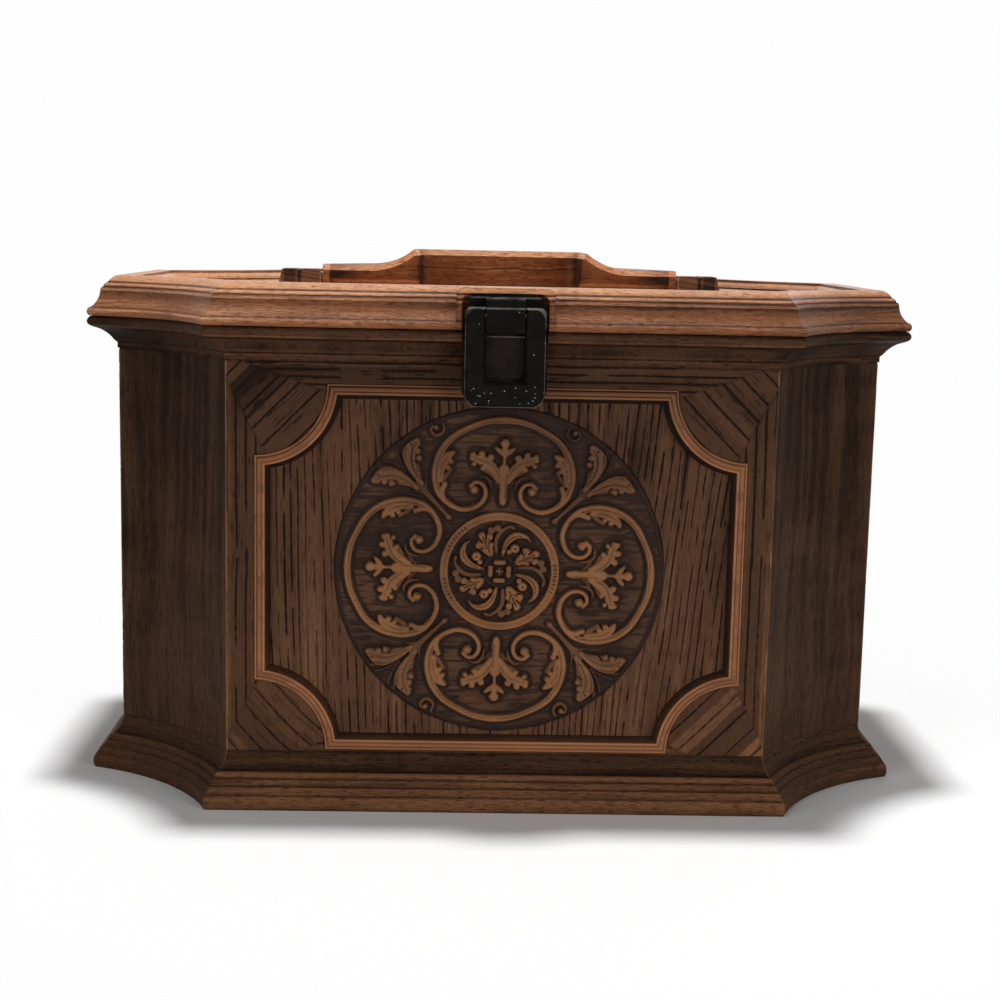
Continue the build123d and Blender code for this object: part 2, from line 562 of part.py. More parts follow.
# Handle: pivots at the front, arms rising to a grip at the back
with BuildPart() as handle_bail:
    with BuildSketch(FRONT.offset(HANDLE_FRONT)):
        with BuildLine():
            Polyline((0, HANDLE_GRIP_TOP), (0, HANDLE_UNDERSIDE), (HANDLE_HALF, HANDLE_UNDERSIDE),
                     (HANDLE_HALF, HANDLE_ARM_TOP), (HANDLE_SHOULDER, HANDLE_ARM_TOP))
            ThreePointArc((HANDLE_SHOULDER, HANDLE_ARM_TOP), HANDLE_RISE, (HANDLE_CREST, HANDLE_GRIP_TOP))
            Line((HANDLE_CREST, HANDLE_GRIP_TOP), (0, HANDLE_GRIP_TOP))
        make_face()
        mirror(about=Plane.YZ)
    extrude(amount=-(HANDLE_FRONT + HANDLE_BACK))
    top_front = faces().sort_by(Axis.Y)[0].edges().filter_by(
        lambda edge: edge.center().Z > HANDLE_ARM_TOP - 0.1 and abs(edge.center().X) < HANDLE_HALF - 0.5)
    chamfer(top_front, length=HANDLE_BEVEL)
    with BuildSketch(Plane.XY.offset(HANDLE_UNDERSIDE)):
        with BuildLine():
            Polyline((-HANDLE_HALF, -HANDLE_FRONT), (HANDLE_HALF, -HANDLE_FRONT),
                     (HANDLE_HALF, HANDLE_END_BACK), (HANDLE_SHOULDER, HANDLE_BACK),
                     (-HANDLE_SHOULDER, HANDLE_BACK), (-HANDLE_HALF, HANDLE_END_BACK),
                     (-HANDLE_HALF, -HANDLE_FRONT))
        make_face()
        fillet(vertices().group_by(Axis.Y)[-1], radius=HANDLE_CORNER)
        with BuildSketch(mode=Mode.SUBTRACT):
            with Locations((0, -HANDLE_FRONT)):
                Rectangle(2 * OPENING_HALF, HANDLE_FRONT + OPENING_BACK, align=(Align.CENTER, Align.MIN))
            fillet(vertices().group_by(Axis.Y)[-1], radius=OPENING_CORNER)
    extrude(amount=HANDLE_GRIP_TOP, mode=Mode.INTERSECT)
    opening_top = edges().filter_by(lambda edge: edge.center().Z > HANDLE_GRIP_TOP - 0.1
                                    and abs(edge.center().X) < OPENING_HALF + 0.1
                                    and edge.center().Y < OPENING_BACK + 0.1)
    chamfer(opening_top, length=HANDLE_BEVEL)
    with BuildSketch(Plane.YZ):
        with BuildLine():
            Polyline((-HANDLE_FRONT, HANDLE_AXIS_HEIGHT), (-HANDLE_FRONT, HANDLE_GRIP_TOP + 1),
                     (HANDLE_BACK, HANDLE_GRIP_TOP + 1), (HANDLE_BACK, HANDLE_UNDERSIDE),
                     (0, HANDLE_UNDERSIDE))
            JernArc((0, HANDLE_UNDERSIDE), (-1, 0), HANDLE_FRONT, -90)
        make_face()
    extrude(amount=HANDLE_HALF, both=True, mode=Mode.INTERSECT)
    for side in (-1, 1):
        end = Plane(origin=(side * HANDLE_HALF, 0, HANDLE_AXIS_HEIGHT), z_dir=(-side, 0, 0))
        rod(end, HANDLE_PIN_RADIUS, HANDLE_HALF - HANDLE_PIN_INNER, Mode.SUBTRACT)


def handle_pin(side):
    """Steel pin pressed into one end of the handle."""
    with BuildPart() as pin:
        start = Plane(origin=(side * HANDLE_PIN_INNER, 0, HANDLE_AXIS_HEIGHT), z_dir=(side, 0, 0))
        rod(start, HANDLE_PIN_RADIUS, HANDLE_PIN_OUTER - HANDLE_PIN_INNER)
    return pin


def handle_bracket(side):
    """Lug on the lid, in two blocks with a groove between them and a hipped outer end."""
    groove, half, depth = BRACKET_GROOVE
    with BuildPart() as bracket:
        with BuildSketch(FRONT.offset(-BRACKET_HALF_DEPTH)):
            with BuildLine():
                Polyline((BRACKET_INNER, LID_FIELD), (BRACKET_OUTER, LID_FIELD),
                         (BRACKET_OUTER, LID_FIELD + BRACKET_STEP),
                         (BRACKET_OUTER - BRACKET_HIP, BRACKET_TOP),
                         (groove + half, BRACKET_TOP), (groove, BRACKET_TOP - depth),
                         (groove - half, BRACKET_TOP), (BRACKET_INNER, BRACKET_TOP),
                         (BRACKET_INNER, LID_FIELD))
            make_face()
        extrude(amount=2 * BRACKET_HALF_DEPTH)
        start = Plane(origin=(BRACKET_INNER, 0, HANDLE_AXIS_HEIGHT), z_dir=(1, 0, 0))
        bore = HANDLE_PIN_OUTER - BRACKET_INNER + TIP_CLEARANCE
        rod(start, HANDLE_PIN_RADIUS + PIN_CLEARANCE, bore, Mode.SUBTRACT)
        for y in (-BRACKET_SCREW_Y, BRACKET_SCREW_Y):
            start = Plane.XY.offset(LID_FIELD).shift_origin((BRACKET_SCREW_X, y, LID_FIELD))
            rod(start, SHANK_RADIUS, BRACKET_SCREW_HOLE, Mode.SUBTRACT)
        if side < 0:
            mirror(about=Plane.YZ, mode=Mode.REPLACE)
    return bracket


handle_pin_left = handle_pin(-1)
handle_pin_right = handle_pin(1)
handle_bracket_left = handle_bracket(-1)
handle_bracket_right = handle_bracket(1)

with BuildPart() as handle_screws:
    for x in (-BRACKET_SCREW_X, BRACKET_SCREW_X):
        for y in (-BRACKET_SCREW_Y, BRACKET_SCREW_Y):
            head = Plane(origin=(x, y, LID_CEILING - HEAD_HEIGHT), z_dir=(0, 0, 1))
            screw(head, LID_FIELD - LID_CEILING + BRACKET_SCREW_HOLE - TIP_CLEARANCE)


def knuckles(x, spans):
    """Barrel lengths of a hinge leaf at the given spans from its middle."""
    axis_y, axis_z = HINGE_AXIS
    for low, high in spans:
        rod(Plane(origin=(x + low, axis_y, axis_z), z_dir=(1, 0, 0)), BARREL_RADIUS, high - low)


OUTER_KNUCKLES = [(-HINGE_WIDTH / 2, -MIDDLE_KNUCKLE / 2 - KNUCKLE_GAP),
                  (MIDDLE_KNUCKLE / 2 + KNUCKLE_GAP, HINGE_WIDTH / 2)]
INNER_KNUCKLE = [(-MIDDLE_KNUCKLE / 2, MIDDLE_KNUCKLE / 2)]


def hinge_leaf(x, direction, spans, bore):
    """Leaf on the back face, above the axis for direction 1 and below it for -1."""
    axis_y, axis_z = HINGE_AXIS
    near = axis_z + direction * LEAF_SETBACK
    far = axis_z + direction * (LEAF_SETBACK + LEAF_REACH)
    leaf_y = (HINGE_SEAT_FACE, HINGE_SEAT_FACE + LEAF)
    with BuildPart() as leaf:
        block((x - HINGE_WIDTH / 2, x + HINGE_WIDTH / 2), leaf_y, (min(near, far), max(near, far)))
        knuckles(x, spans)
        for low, high in spans:
            block((x + low, x + high), leaf_y, (min(axis_z, near), max(axis_z, near)))
        rod(Plane(origin=(x - HINGE_WIDTH, axis_y, axis_z), z_dir=(1, 0, 0)), bore, 2 * HINGE_WIDTH,
            Mode.SUBTRACT)
        for hole in leaf_screw_planes(x, direction, HINGE_SEAT_FACE):
            rod(hole, SHANK_RADIUS + SHANK_CLEARANCE, LEAF, Mode.SUBTRACT)
    return leaf


def hinge_pin(x):
    """Steel pin through one hinge."""
    axis_y, axis_z = HINGE_AXIS
    with BuildPart() as pin:
        rod(Plane(origin=(x - HINGE_WIDTH / 2, axis_y, axis_z), z_dir=(1, 0, 0)),
            HINGE_PIN_RADIUS, HINGE_WIDTH)
    return pin


hinge_body_leaf_left = hinge_leaf(-HINGE_SPACING / 2, -1, OUTER_KNUCKLES, HINGE_PIN_RADIUS)
hinge_body_leaf_right = hinge_leaf(HINGE_SPACING / 2, -1, OUTER_KNUCKLES, HINGE_PIN_RADIUS)
hinge_lid_leaf_left = hinge_leaf(-HINGE_SPACING / 2, 1, INNER_KNUCKLE, HINGE_PIN_RADIUS + PIN_CLEARANCE)
hinge_lid_leaf_right = hinge_leaf(HINGE_SPACING / 2, 1, INNER_KNUCKLE, HINGE_PIN_RADIUS + PIN_CLEARANCE)
hinge_pin_left = hinge_pin(-HINGE_SPACING / 2)
hinge_pin_right = hinge_pin(HINGE_SPACING / 2)


def hinge_screws(direction):
    """Screws of both leaves above the axis for direction 1, or below it for -1."""
    with BuildPart() as screws:
        for x in (-HINGE_SPACING / 2, HINGE_SPACING / 2):
            for tip in leaf_screw_planes(x, direction, HINGE_SEAT_FACE - LEAF_SCREW_DEPTH + 0.2):
                rod(tip, SHANK_RADIUS, LEAF_SCREW_DEPTH - 0.2 + LEAF + HEAD_HEIGHT)
            for under_head in leaf_screw_planes(x, direction, HINGE_SEAT_FACE + LEAF):
                rod(under_head, HEAD_RADIUS, HEAD_HEIGHT)
    return screws


hinge_body_screws = hinge_screws(-1)
hinge_lid_screws = hinge_screws(1)

# Tray: octagon tub with straight corners and a finger notch at each end
TRAY_HALF_X = HALF_LENGTH - TRAY_INSET
TRAY_HALF_Y = HALF_DEPTH - TRAY_INSET
TRAY_INNER_X = TRAY_HALF_X - TRAY_WALL
TRAY_INNER_Y = TRAY_HALF_Y - TRAY_WALL
TRAY_FLOOR = TRAY_BOTTOM + TRAY_WALL
with BuildPart() as tray:
    with BuildSketch(Plane.XY.offset(TRAY_BOTTOM)):
        Rectangle(2 * TRAY_HALF_X, 2 * TRAY_HALF_Y)
        chamfer(vertices(), length=TRAY_CORNER)
    extrude(amount=TRAY_TOP - TRAY_BOTTOM)
    with BuildSketch(Plane.XY.offset(TRAY_FLOOR)):
        Rectangle(2 * TRAY_INNER_X, 2 * TRAY_INNER_Y)
        chamfer(vertices(), length=TRAY_CORNER - TRAY_WALL * (2 - 2 ** 0.5))
    extrude(amount=TRAY_TOP, mode=Mode.SUBTRACT)
    notch_line = Plane(origin=(-HALF_LENGTH, TRAY_NOTCH[0], TRAY_TOP), z_dir=(1, 0, 0))
    rod(notch_line, TRAY_NOTCH[1], 2 * HALF_LENGTH, Mode.SUBTRACT)


def tray_divider(x_span, y_span):
    """Upright plate that stands on the tray's floor."""
    with BuildPart() as divider:
        block(x_span, y_span, (TRAY_FLOOR, DIVIDER_TOP))
    return divider


def about(middle):
    """Span of one divider's thickness."""
    return middle - TRAY_WALL / 2, middle + TRAY_WALL / 2


tray_divider_long = tray_divider((-TRAY_INNER_X, TRAY_INNER_X), about(LONG_DIVIDER_Y))
tray_divider_left = tray_divider(about(-FRONT_DIVIDER_X), (-TRAY_INNER_Y, about(LONG_DIVIDER_Y)[0]))
tray_divider_right = tray_divider(about(FRONT_DIVIDER_X), (-TRAY_INNER_Y, about(LONG_DIVIDER_Y)[0]))
tray_divider_back = tray_divider(about(BACK_DIVIDER_X), (about(LONG_DIVIDER_Y)[1], TRAY_INNER_Y))

with BuildPart() as spool_pegs:
    with Locations((PEG_CENTRE_X, PEG_CENTRE_Y, TRAY_FLOOR)):
        with GridLocations(PEG_SPACING, PEG_SPACING, 5, 2):
            Cone(PEG_BASE_RADIUS, PEG_TIP_RADIUS, PEG_TOP - TRAY_FLOOR,
                 align=(Align.CENTER, Align.CENTER, Align.MIN))


def tray_ledge(side):
    """Strip on the inside of the front or back wall that the tray rests on."""
    wall_y = side * LINING_Y
    inner_y = side * (LINING_Y - LEDGE_DEPTH)
    with BuildPart() as ledge:
        depth = (min(wall_y, inner_y), max(wall_y, inner_y))
        block((-LEDGE_HALF, LEDGE_HALF), depth, (LEDGE_BOTTOM, LEDGE_TOP))
    return ledge


tray_ledge_front = tray_ledge(-1)
tray_ledge_back = tray_ledge(1)

pieces = {
    "body_shell": body_shell,
    "lid_shell": lid_shell,
    "front_medallion": front_medallion,
    "latch_mount": latch_mount,
    "latch_pin": latch_pin,
    "latch_hasp": latch_hasp,
    "latch_keeper": latch_keeper,
    "latch_screws": latch_screws,
    "keeper_screws": keeper_screws,
    "handle_bail": handle_bail,
    "handle_pin_left": handle_pin_left,
    "handle_pin_right": handle_pin_right,
    "handle_bracket_left": handle_bracket_left,
    "handle_bracket_right": handle_bracket_right,
    "handle_screws": handle_screws,
    "hinge_body_leaf_left": hinge_body_leaf_left,
    "hinge_body_leaf_right": hinge_body_leaf_right,
    "hinge_lid_leaf_left": hinge_lid_leaf_left,
    "hinge_lid_leaf_right": hinge_lid_leaf_right,
    "hinge_pin_left": hinge_pin_left,
    "hinge_pin_right": hinge_pin_right,
    "hinge_body_screws": hinge_body_screws,
    "hinge_lid_screws": hinge_lid_screws,
    "tray": tray,
    "tray_divider_long": tray_divider_long,
    "tray_divider_left": tray_divider_left,
    "tray_divider_right": tray_divider_right,
    "tray_divider_back": tray_divider_back,
    "spool_pegs": spool_pegs,
    "tray_ledge_front": tray_ledge_front,
    "tray_ledge_back": tray_ledge_back,
}
for name, piece in pieces.items():
    piece.part.label = name
    export_step(piece.part, f"parts/{name}.step")
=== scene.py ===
"""Looks of a moulded, wood-grained sewing box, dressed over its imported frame."""

import logging
import math
from dataclasses import dataclass, field
from enum import Enum
from typing import Callable, ClassVar, Sequence

import bmesh
import bpy
import numpy as np
from mathutils import Matrix, Vector

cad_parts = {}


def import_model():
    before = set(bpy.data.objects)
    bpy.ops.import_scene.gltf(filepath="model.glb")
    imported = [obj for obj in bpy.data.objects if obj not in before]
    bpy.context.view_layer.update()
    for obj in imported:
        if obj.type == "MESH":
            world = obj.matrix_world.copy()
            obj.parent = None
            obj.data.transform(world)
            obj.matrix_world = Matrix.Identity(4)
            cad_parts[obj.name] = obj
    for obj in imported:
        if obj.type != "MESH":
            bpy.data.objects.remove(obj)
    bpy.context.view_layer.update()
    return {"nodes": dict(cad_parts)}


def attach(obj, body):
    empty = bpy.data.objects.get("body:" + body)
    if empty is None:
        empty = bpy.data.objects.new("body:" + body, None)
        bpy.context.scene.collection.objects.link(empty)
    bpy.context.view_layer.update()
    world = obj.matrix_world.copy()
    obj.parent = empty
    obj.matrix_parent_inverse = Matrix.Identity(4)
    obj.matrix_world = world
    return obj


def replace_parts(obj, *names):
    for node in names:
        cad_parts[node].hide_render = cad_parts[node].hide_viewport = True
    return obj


LOG = logging.getLogger("sewing_box")
MM = 0.001

# Plan of the mouldings: half length, half depth, and the arcs that hollow the corners
HALF_LENGTH = 184.0
HALF_DEPTH = 119.0
HOLLOW_RADIUS = 100.0
HOLLOW_OFFSET = 35.0
WALL_INSET = 12.7

# Heights of the case's upright walls, of the cornice over them, and half way up the planks
WALL_FOOT = 23.2
WALL_HEAD = 192.2
CORNICE_FOOT = 192.0
HALF_WAY = 108.0

# The lid: where its side mouldings and its top's border end, and a height above its underside
LID_SIDE_INSET = 11.6
LID_BORDER_INSET = 24.0
LID_UPPER = 217.0

# Shifts that give each wall and each hollowed corner a stretch of grain of its own
LONG_WALL_SHIFT = 517.0
END_WALL_SHIFT = 733.0
HOLLOW_SHIFT_X = 371.0
HOLLOW_SHIFT_Y = 913.0

Colour = tuple[float, float, float]
Bands = tuple[tuple[float, float], ...]
Line = Sequence[tuple[float, float, float]]
Turn = Callable[[float, float], tuple[float, float]]


def srgb(red: int, green: int, blue: int) -> Colour:
    """Turns a colour as written on a swatch into the shader's linear values.

    Args:
        red: Its red, 0 to 255.
        green: Its green.
        blue: Its blue.

    Returns:
        The linear colour.
    """
    out = []
    for value in (red, green, blue):
        c = value / 255.0
        out.append(c / 12.92 if c <= 0.04045 else ((c + 0.055) / 1.055) ** 2.4)
    return out[0], out[1], out[2]


# Noise and strokes that carve the reliefs


@dataclass
class Lattice:
    """Smooth value noise on a repeating lattice.

    Attributes:
        seed: Fixes the lattice, so that every run carves the same grain.
        size: Cells along each side before the lattice repeats.
    """

    seed: int
    size: int = 257
    table: np.ndarray = field(init=False, repr=False)

    def __post_init__(self) -> None:
        """Draws the lattice's values."""
        self.table = np.random.default_rng(self.seed).random((self.size, self.size))

    def at(self, u: np.ndarray, v: np.ndarray) -> np.ndarray:
        """Reads the noise, 0 to 1.

        Args:
            u: First coordinate, one cell to a unit.
            v: Second coordinate, one cell to a unit.

        Returns:
            The noise at each point.
        """
        iu = np.floor(u).astype(int)
        iv = np.floor(v).astype(int)
        fu = u - iu
        fv = v - iv
        fu = fu * fu * (3 - 2 * fu)
        fv = fv * fv * (3 - 2 * fv)
        n = self.size
        a = self.table[iu % n, iv % n]
        b = self.table[(iu + 1) % n, iv % n]
        c = self.table[iu % n, (iv + 1) % n]
        d = self.table[(iu + 1) % n, (iv + 1) % n]
        return (a * (1 - fu) + b * fu) * (1 - fv) + (c * (1 - fu) + d * fu) * fv

    def summed(self, u: np.ndarray, v: np.ndarray) -> np.ndarray:
        """Adds three octaves of the noise, 0 to 1."""
        return (self.at(u, v) * 4 + self.at(u * 2 + 17, v * 2 + 5) * 2 + self.at(u * 4 + 71, v * 4 + 31)) / 7


def ramp(value: np.ndarray, low: float, high: float) -> np.ndarray:
    """Rises smoothly from 0 at low to 1 at high."""
    t = np.clip((value - low) / (high - low), 0.0, 1.0)
    return t * t * (3 - 2 * t)


def bead(r: np.ndarray, middle: float, half: float) -> np.ndarray:
    """Gives the height, 0 to 1, of a round bead that circles the middle at a radius."""
    return np.sqrt(np.clip(1 - ((r - middle) / half) ** 2, 0, 1))


def through(points: Line, step: float = 0.3) -> np.ndarray:
    """Runs a smooth line through a few points and reads it at even steps.

    Args:
        points: Points to pass, the first two values of each being its place.
        step: Distance between the points that come back, in millimetres.

    Returns:
        An array with one row for each step and one column for each value.
    """
    p = np.asarray(points, float)
    p = np.vstack([2 * p[0] - p[1], p, 2 * p[-1] - p[-2]])
    rows = []
    for i in range(1, len(p) - 2):
        count = max(2, int(np.hypot(*(p[i + 1] - p[i])[:2]) / step))
        t = np.linspace(0, 1, count, endpoint=False)[:, None]
        rows.append(0.5 * (2 * p[i] + (p[i + 1] - p[i - 1]) * t
                           + (2 * p[i - 1] - 5 * p[i] + 4 * p[i + 1] - p[i + 2]) * t ** 2
                           + (3 * p[i] - p[i - 1] - 3 * p[i + 1] + p[i + 2]) * t ** 3))
    rows.append(p[-2][None, :])
    return np.vstack(rows)


class Carving:
    """A relief that grows by laying rounded strokes on a ground, highest stroke winning.

    Attributes:
        CELL: Side of the cells that the points are sorted into, in millimetres.
        STRIDE: Step between the keys of two columns of cells, more than a column has.
    """

    CELL: ClassVar[float] = 4.0
    STRIDE: ClassVar[int] = 1000

    def __init__(self, u: np.ndarray, v: np.ndarray, spread: float = 0.0) -> None:
        """Starts on a flat ground.

        Args:
            u: Sideways place of every point, in millimetres.
            v: Upward place of every point, in millimetres.
            spread: Widens every stroke by this much and leaves out the cuts, for a mask round them.
        """
        self.u = u
        self.v = v
        self.spread = spread
        self.height = np.zeros(len(u))
        keys = np.floor(u / self.CELL).astype(int) * self.STRIDE + np.floor(v / self.CELL).astype(int)
        order = np.argsort(keys, kind="stable")
        edges = np.flatnonzero(np.diff(keys[order])) + 1
        self.bins = {int(keys[chunk[0]]): chunk for chunk in np.split(order, edges)}

    def near(self, u: float, v: float, reach: float) -> tuple[np.ndarray, np.ndarray]:
        """Finds the points in the cells that a circle touches.

        Args:
            u: Sideways place of its middle.
            v: Upward place of its middle.
            reach: Its radius.

        Returns:
            The points' numbers and their distances from the middle.
        """
        def cells(middle: float) -> range:
            """Lists the cells along one side that the circle spans."""
            first, last = (math.floor((middle + side * reach) / self.CELL) for side in (-1, 1))
            return range(first, last + 1)

        keys = [i * self.STRIDE + j for i in cells(u) for j in cells(v)]
        found = [self.bins[key] for key in keys if key in self.bins]
        i = np.concatenate(found) if found else np.zeros(0, int)
        return i, np.hypot(self.u[i] - u, self.v[i] - v)

    def dab(self, u: float, v: float, half: float, top: float, flat: float = 0.0) -> None:
        """Lays one round dab.

        Args:
            u: Sideways place of its middle.
            v: Upward place of its middle.
            half: Its radius.
            top: Its height.
            flat: Share of its radius that is flat on top.
        """
        half += self.spread
        i, away = self.near(u, v, half)
        d = np.clip((away / half - flat) / (1 - flat), 0, 1)
        self.height[i] = np.maximum(self.height[i], top * np.sqrt(1 - d * d))

    def stroke(self, points: Line, top: float, flat: float = 0.5) -> None:
        """Lays a stroke whose half width, the third value of each point, may change along it."""
        for u, v, half in through(points):
            self.dab(u, v, max(half, 0.25), top * min(1.0, 0.55 + half / 2.2), flat)

    def groove(self, u: float, v: float, radius: float, half: float, depth: float) -> None:
        """Presses in a round groove, or a dimple where its radius is 0.

        Args:
            u: Sideways place of its middle.
            v: Upward place of its middle.
            radius: Its radius.
            half: Its half width.
            depth: Its depth.
        """
        i, away = self.near(u, v, radius + half)
        off = np.abs(away - radius) / half
        self.height[i] -= depth * np.clip(1 - off * off, 0, 1)

    def cut(self, points: Line, depth: float) -> None:
        """Cuts a rounded vein into what has been laid so far.

        Args:
            points: Points to pass, the third value of each being its half width there.
            depth: Its depth.
        """
        if self.spread:
            return
        mark = np.zeros(len(self.u))
        for u, v, half in through(points):
            i, away = self.near(u, v, half)
            d = np.clip(away / half, 0, 1)
            mark[i] = np.maximum(mark[i], 1 - d * d)
        self.height = np.maximum(self.height - depth * mark, self.height * 0.25)


# Shader building


@dataclass(frozen=True)
class Number:
    """A number in a node tree, so that what nodes work out is written as plain sums.

    Attributes:
        graph: The graph that it belongs to.
        socket: The output that carries it.
    """

    graph: "Graph"
    socket: bpy.types.NodeSocket

    def __add__(self, other: "Term") -> "Number":
        """Adds a term."""
        return self.graph.math("ADD", self, other)

    def __sub__(self, other: "Term") -> "Number":
        """Takes a term away."""
        return self.graph.math("SUBTRACT", self, other)

    def __rsub__(self, other: float) -> "Number":
        """Takes this away from a plain number."""
        return self.graph.math("SUBTRACT", other, self)

    def __mul__(self, other: "Term") -> "Number":
        """Multiplies by a term."""
        return self.graph.math("MULTIPLY", self, other)

    def __truediv__(self, other: "Term") -> "Number":
        """Divides by a term."""
        return self.graph.math("DIVIDE", self, other)

    def __abs__(self) -> "Number":
        """Drops the sign."""
        return self.graph.math("ABSOLUTE", self)

    def __gt__(self, other: "Term") -> "Number":
        """Gives 1 where this is greater than a term, else 0."""
        return self.graph.math("GREATER_THAN", self, other)

    def __lt__(self, other: "Term") -> "Number":
        """Gives 1 where this is less than a term, else 0."""
        return self.graph.math("LESS_THAN", self, other)


Term = Number | float


class Graph:
    """A short way to write shader nodes, in a material or in a node group."""

    def __init__(self, tree: bpy.types.NodeTree) -> None:
        """Takes over a node tree."""
        self.tree = tree

    def node(self, kind: str, inputs: dict | None = None, **settings: object) -> bpy.types.Node:
        """Adds a node.

        Args:
            kind: Blender's name for the node's type.
            inputs: Value or output for each input, by name or number.
            **settings: Properties of the node itself.

        Returns:
            The node.
        """
        node = self.tree.nodes.new(kind)
        for name, value in settings.items():
            setattr(node, name, value)
        for key, value in (inputs or {}).items():
            self.feed(node.inputs[key], value)
        return node

    def number(self, kind: str, output: str | int, inputs: dict | None = None, **settings: object) -> Number:
        """Adds a node and takes one of its outputs as a number."""
        return Number(self, self.node(kind, inputs, **settings).outputs[output])

    def feed(self, socket: bpy.types.NodeSocket, value: object) -> None:
        """Links an output to a socket, or writes a value on it.

        Args:
            socket: The socket.
            value: A number or output to link, or a value to write.
        """
        if isinstance(value, Number):
            value = value.socket
        if isinstance(value, bpy.types.NodeSocket):
            self.tree.links.new(value, socket)
        elif isinstance(value, tuple) and socket.type == "RGBA":
            socket.default_value = (*value[:3], 1.0)
        else:
            socket.default_value = value

    def math(self, operation: str, *terms: Term) -> Number:
        """Works out one number from up to three."""
        return self.number("ShaderNodeMath", 0, dict(enumerate(terms)), operation=operation)

    def hypot(self, a: Number, b: Number) -> Number:
        """Works out the long side of a right triangle."""
        return self.math("SQRT", a * a + b * b)

    def vector(self, x: Term, y: Term, z: Term) -> bpy.types.NodeSocket:
        """Joins three numbers into a vector."""
        return self.node("ShaderNodeCombineXYZ", {0: x, 1: y, 2: z}).outputs[0]

    def parts(self, vector: bpy.types.NodeSocket) -> list[Number]:
        """Splits a vector into its three numbers."""
        return [Number(self, output) for output in self.node("ShaderNodeSeparateXYZ", {0: vector}).outputs]

    def scaled(self, place: bpy.types.NodeSocket) -> bpy.types.NodeSocket:
        """Turns a place in metres into millimetres."""
        return self.node("ShaderNodeVectorMath", {0: place, "Scale": 1 / MM}, operation="SCALE").outputs[0]

    def noise(self, vector: object, scale: float, detail: float = 2.0, rough: float = 0.5) -> Number:
        """Reads soft noise."""
        return self.number("ShaderNodeTexNoise", "Fac", {"Vector": vector, "Scale": scale, "Detail": detail,
                                                         "Roughness": rough})

    def span(self, value: Term, low: float, high: float, out_low: float = 0.0,
             out_high: float = 1.0) -> Number:
        """Maps a range of values smoothly on to another range.

        Args:
            value: The value.
            low: Start of its range.
            high: End of its range.
            out_low: What the start becomes.
            out_high: What the end becomes.

        Returns:
            The mapped value.
        """
        return self.number("ShaderNodeMapRange", "Result",
                           {"Value": value, "From Min": low, "From Max": high, "To Min": out_low,
                            "To Max": out_high}, interpolation_type="SMOOTHSTEP")

    def mix(self, factor: Term, a: object, b: object) -> bpy.types.NodeSocket:
        """Mixes two colours, all a where the factor is 0 and all b where it is 1."""
        return self.node("ShaderNodeMix", {0: factor, 6: a, 7: b}, data_type="RGBA").outputs[2]

    def choose(self, factor: Term, a: Term, b: Term) -> Number:
        """Mixes two numbers, all a where the factor is 0 and all b where it is 1."""
        return self.number("ShaderNodeMix", 0, {0: factor, 2: a, 3: b}, data_type="FLOAT")

    def bands(self, value: Term, stops: Bands) -> Number:
        """Reads a value off a profile of light and dark bands.

        Args:
            value: What the bands follow, such as a height.
            stops: Pairs of a place and the shade there, in order. The end shades hold beyond them.

        Returns:
            The shade.
        """
        low, high = stops[0][0], stops[-1][0]
        ends = {"Value": value, "From Min": low, "From Max": high}
        node = self.node("ShaderNodeValToRGB", {"Fac": self.number("ShaderNodeMapRange", "Result", ends)})
        elements = node.color_ramp.elements
        while len(elements) < len(stops):
            elements.new(0.5)
        for element, (spot, shade) in zip(elements, stops):
            element.position = (spot - low) / (high - low)
            element.color = (shade, shade, shade, 1.0)
        return Number(self, node.outputs["Color"])

    def group(self, tree: bpy.types.NodeTree, **inputs: object) -> dict[str, Number]:
        """Places a shared effect, feeds its inputs and gives its outputs by name."""
        outputs = self.node("ShaderNodeGroup", inputs, node_tree=tree).outputs
        return {output.name: Number(self, output) for output in outputs}

    def surface(self, shader: bpy.types.Node, colour: object, rough: Term, specular: float, bump: Term,
                relief: float, strength: float = 1.0) -> None:
        """Feeds the principled shader.

        Args:
            shader: The shader.
            colour: Its base colour.
            rough: Its roughness.
            specular: Strength of its gloss at right angles.
            bump: Height of its bump, mostly 0 to 1.
            relief: What a height of 1 stands for, in millimetres.
            strength: How strongly the bump turns the light.
        """
        normal = self.node("ShaderNodeBump", {"Height": bump, "Strength": strength, "Distance": relief * MM})
        for name, value in (("Base Color", colour), ("Roughness", rough), ("Specular IOR Level", specular),
                            ("Normal", normal.outputs["Normal"])):
            self.feed(shader.inputs[name], value)


def effect(name: str, inputs: dict[str, float | None], build: Callable) -> bpy.types.NodeTree:
    """Builds a shared effect.

    Args:
        name: Its name.
        inputs: Each input's name with its default, None for a vector.
        build: Takes the graph and the inputs by name, and returns each output's name with its number.

    Returns:
        The group.
    """
    tree = bpy.data.node_groups.new(name, "ShaderNodeTree")
    g = Graph(tree)
    for key, default in inputs.items():
        kind = "NodeSocketVector" if default is None else "NodeSocketFloat"
        socket = tree.interface.new_socket(key, in_out="INPUT", socket_type=kind)
        if default is not None:
            socket.default_value = default
    outputs = g.node("NodeGroupInput").outputs
    given = {key: outputs[key] if inputs[key] is None else Number(g, outputs[key]) for key in inputs}
    results = build(g, **given)
    for key in results:
        tree.interface.new_socket(key, in_out="OUTPUT", socket_type="NodeSocketFloat")
    g.node("NodeGroupOutput", results)
    return tree


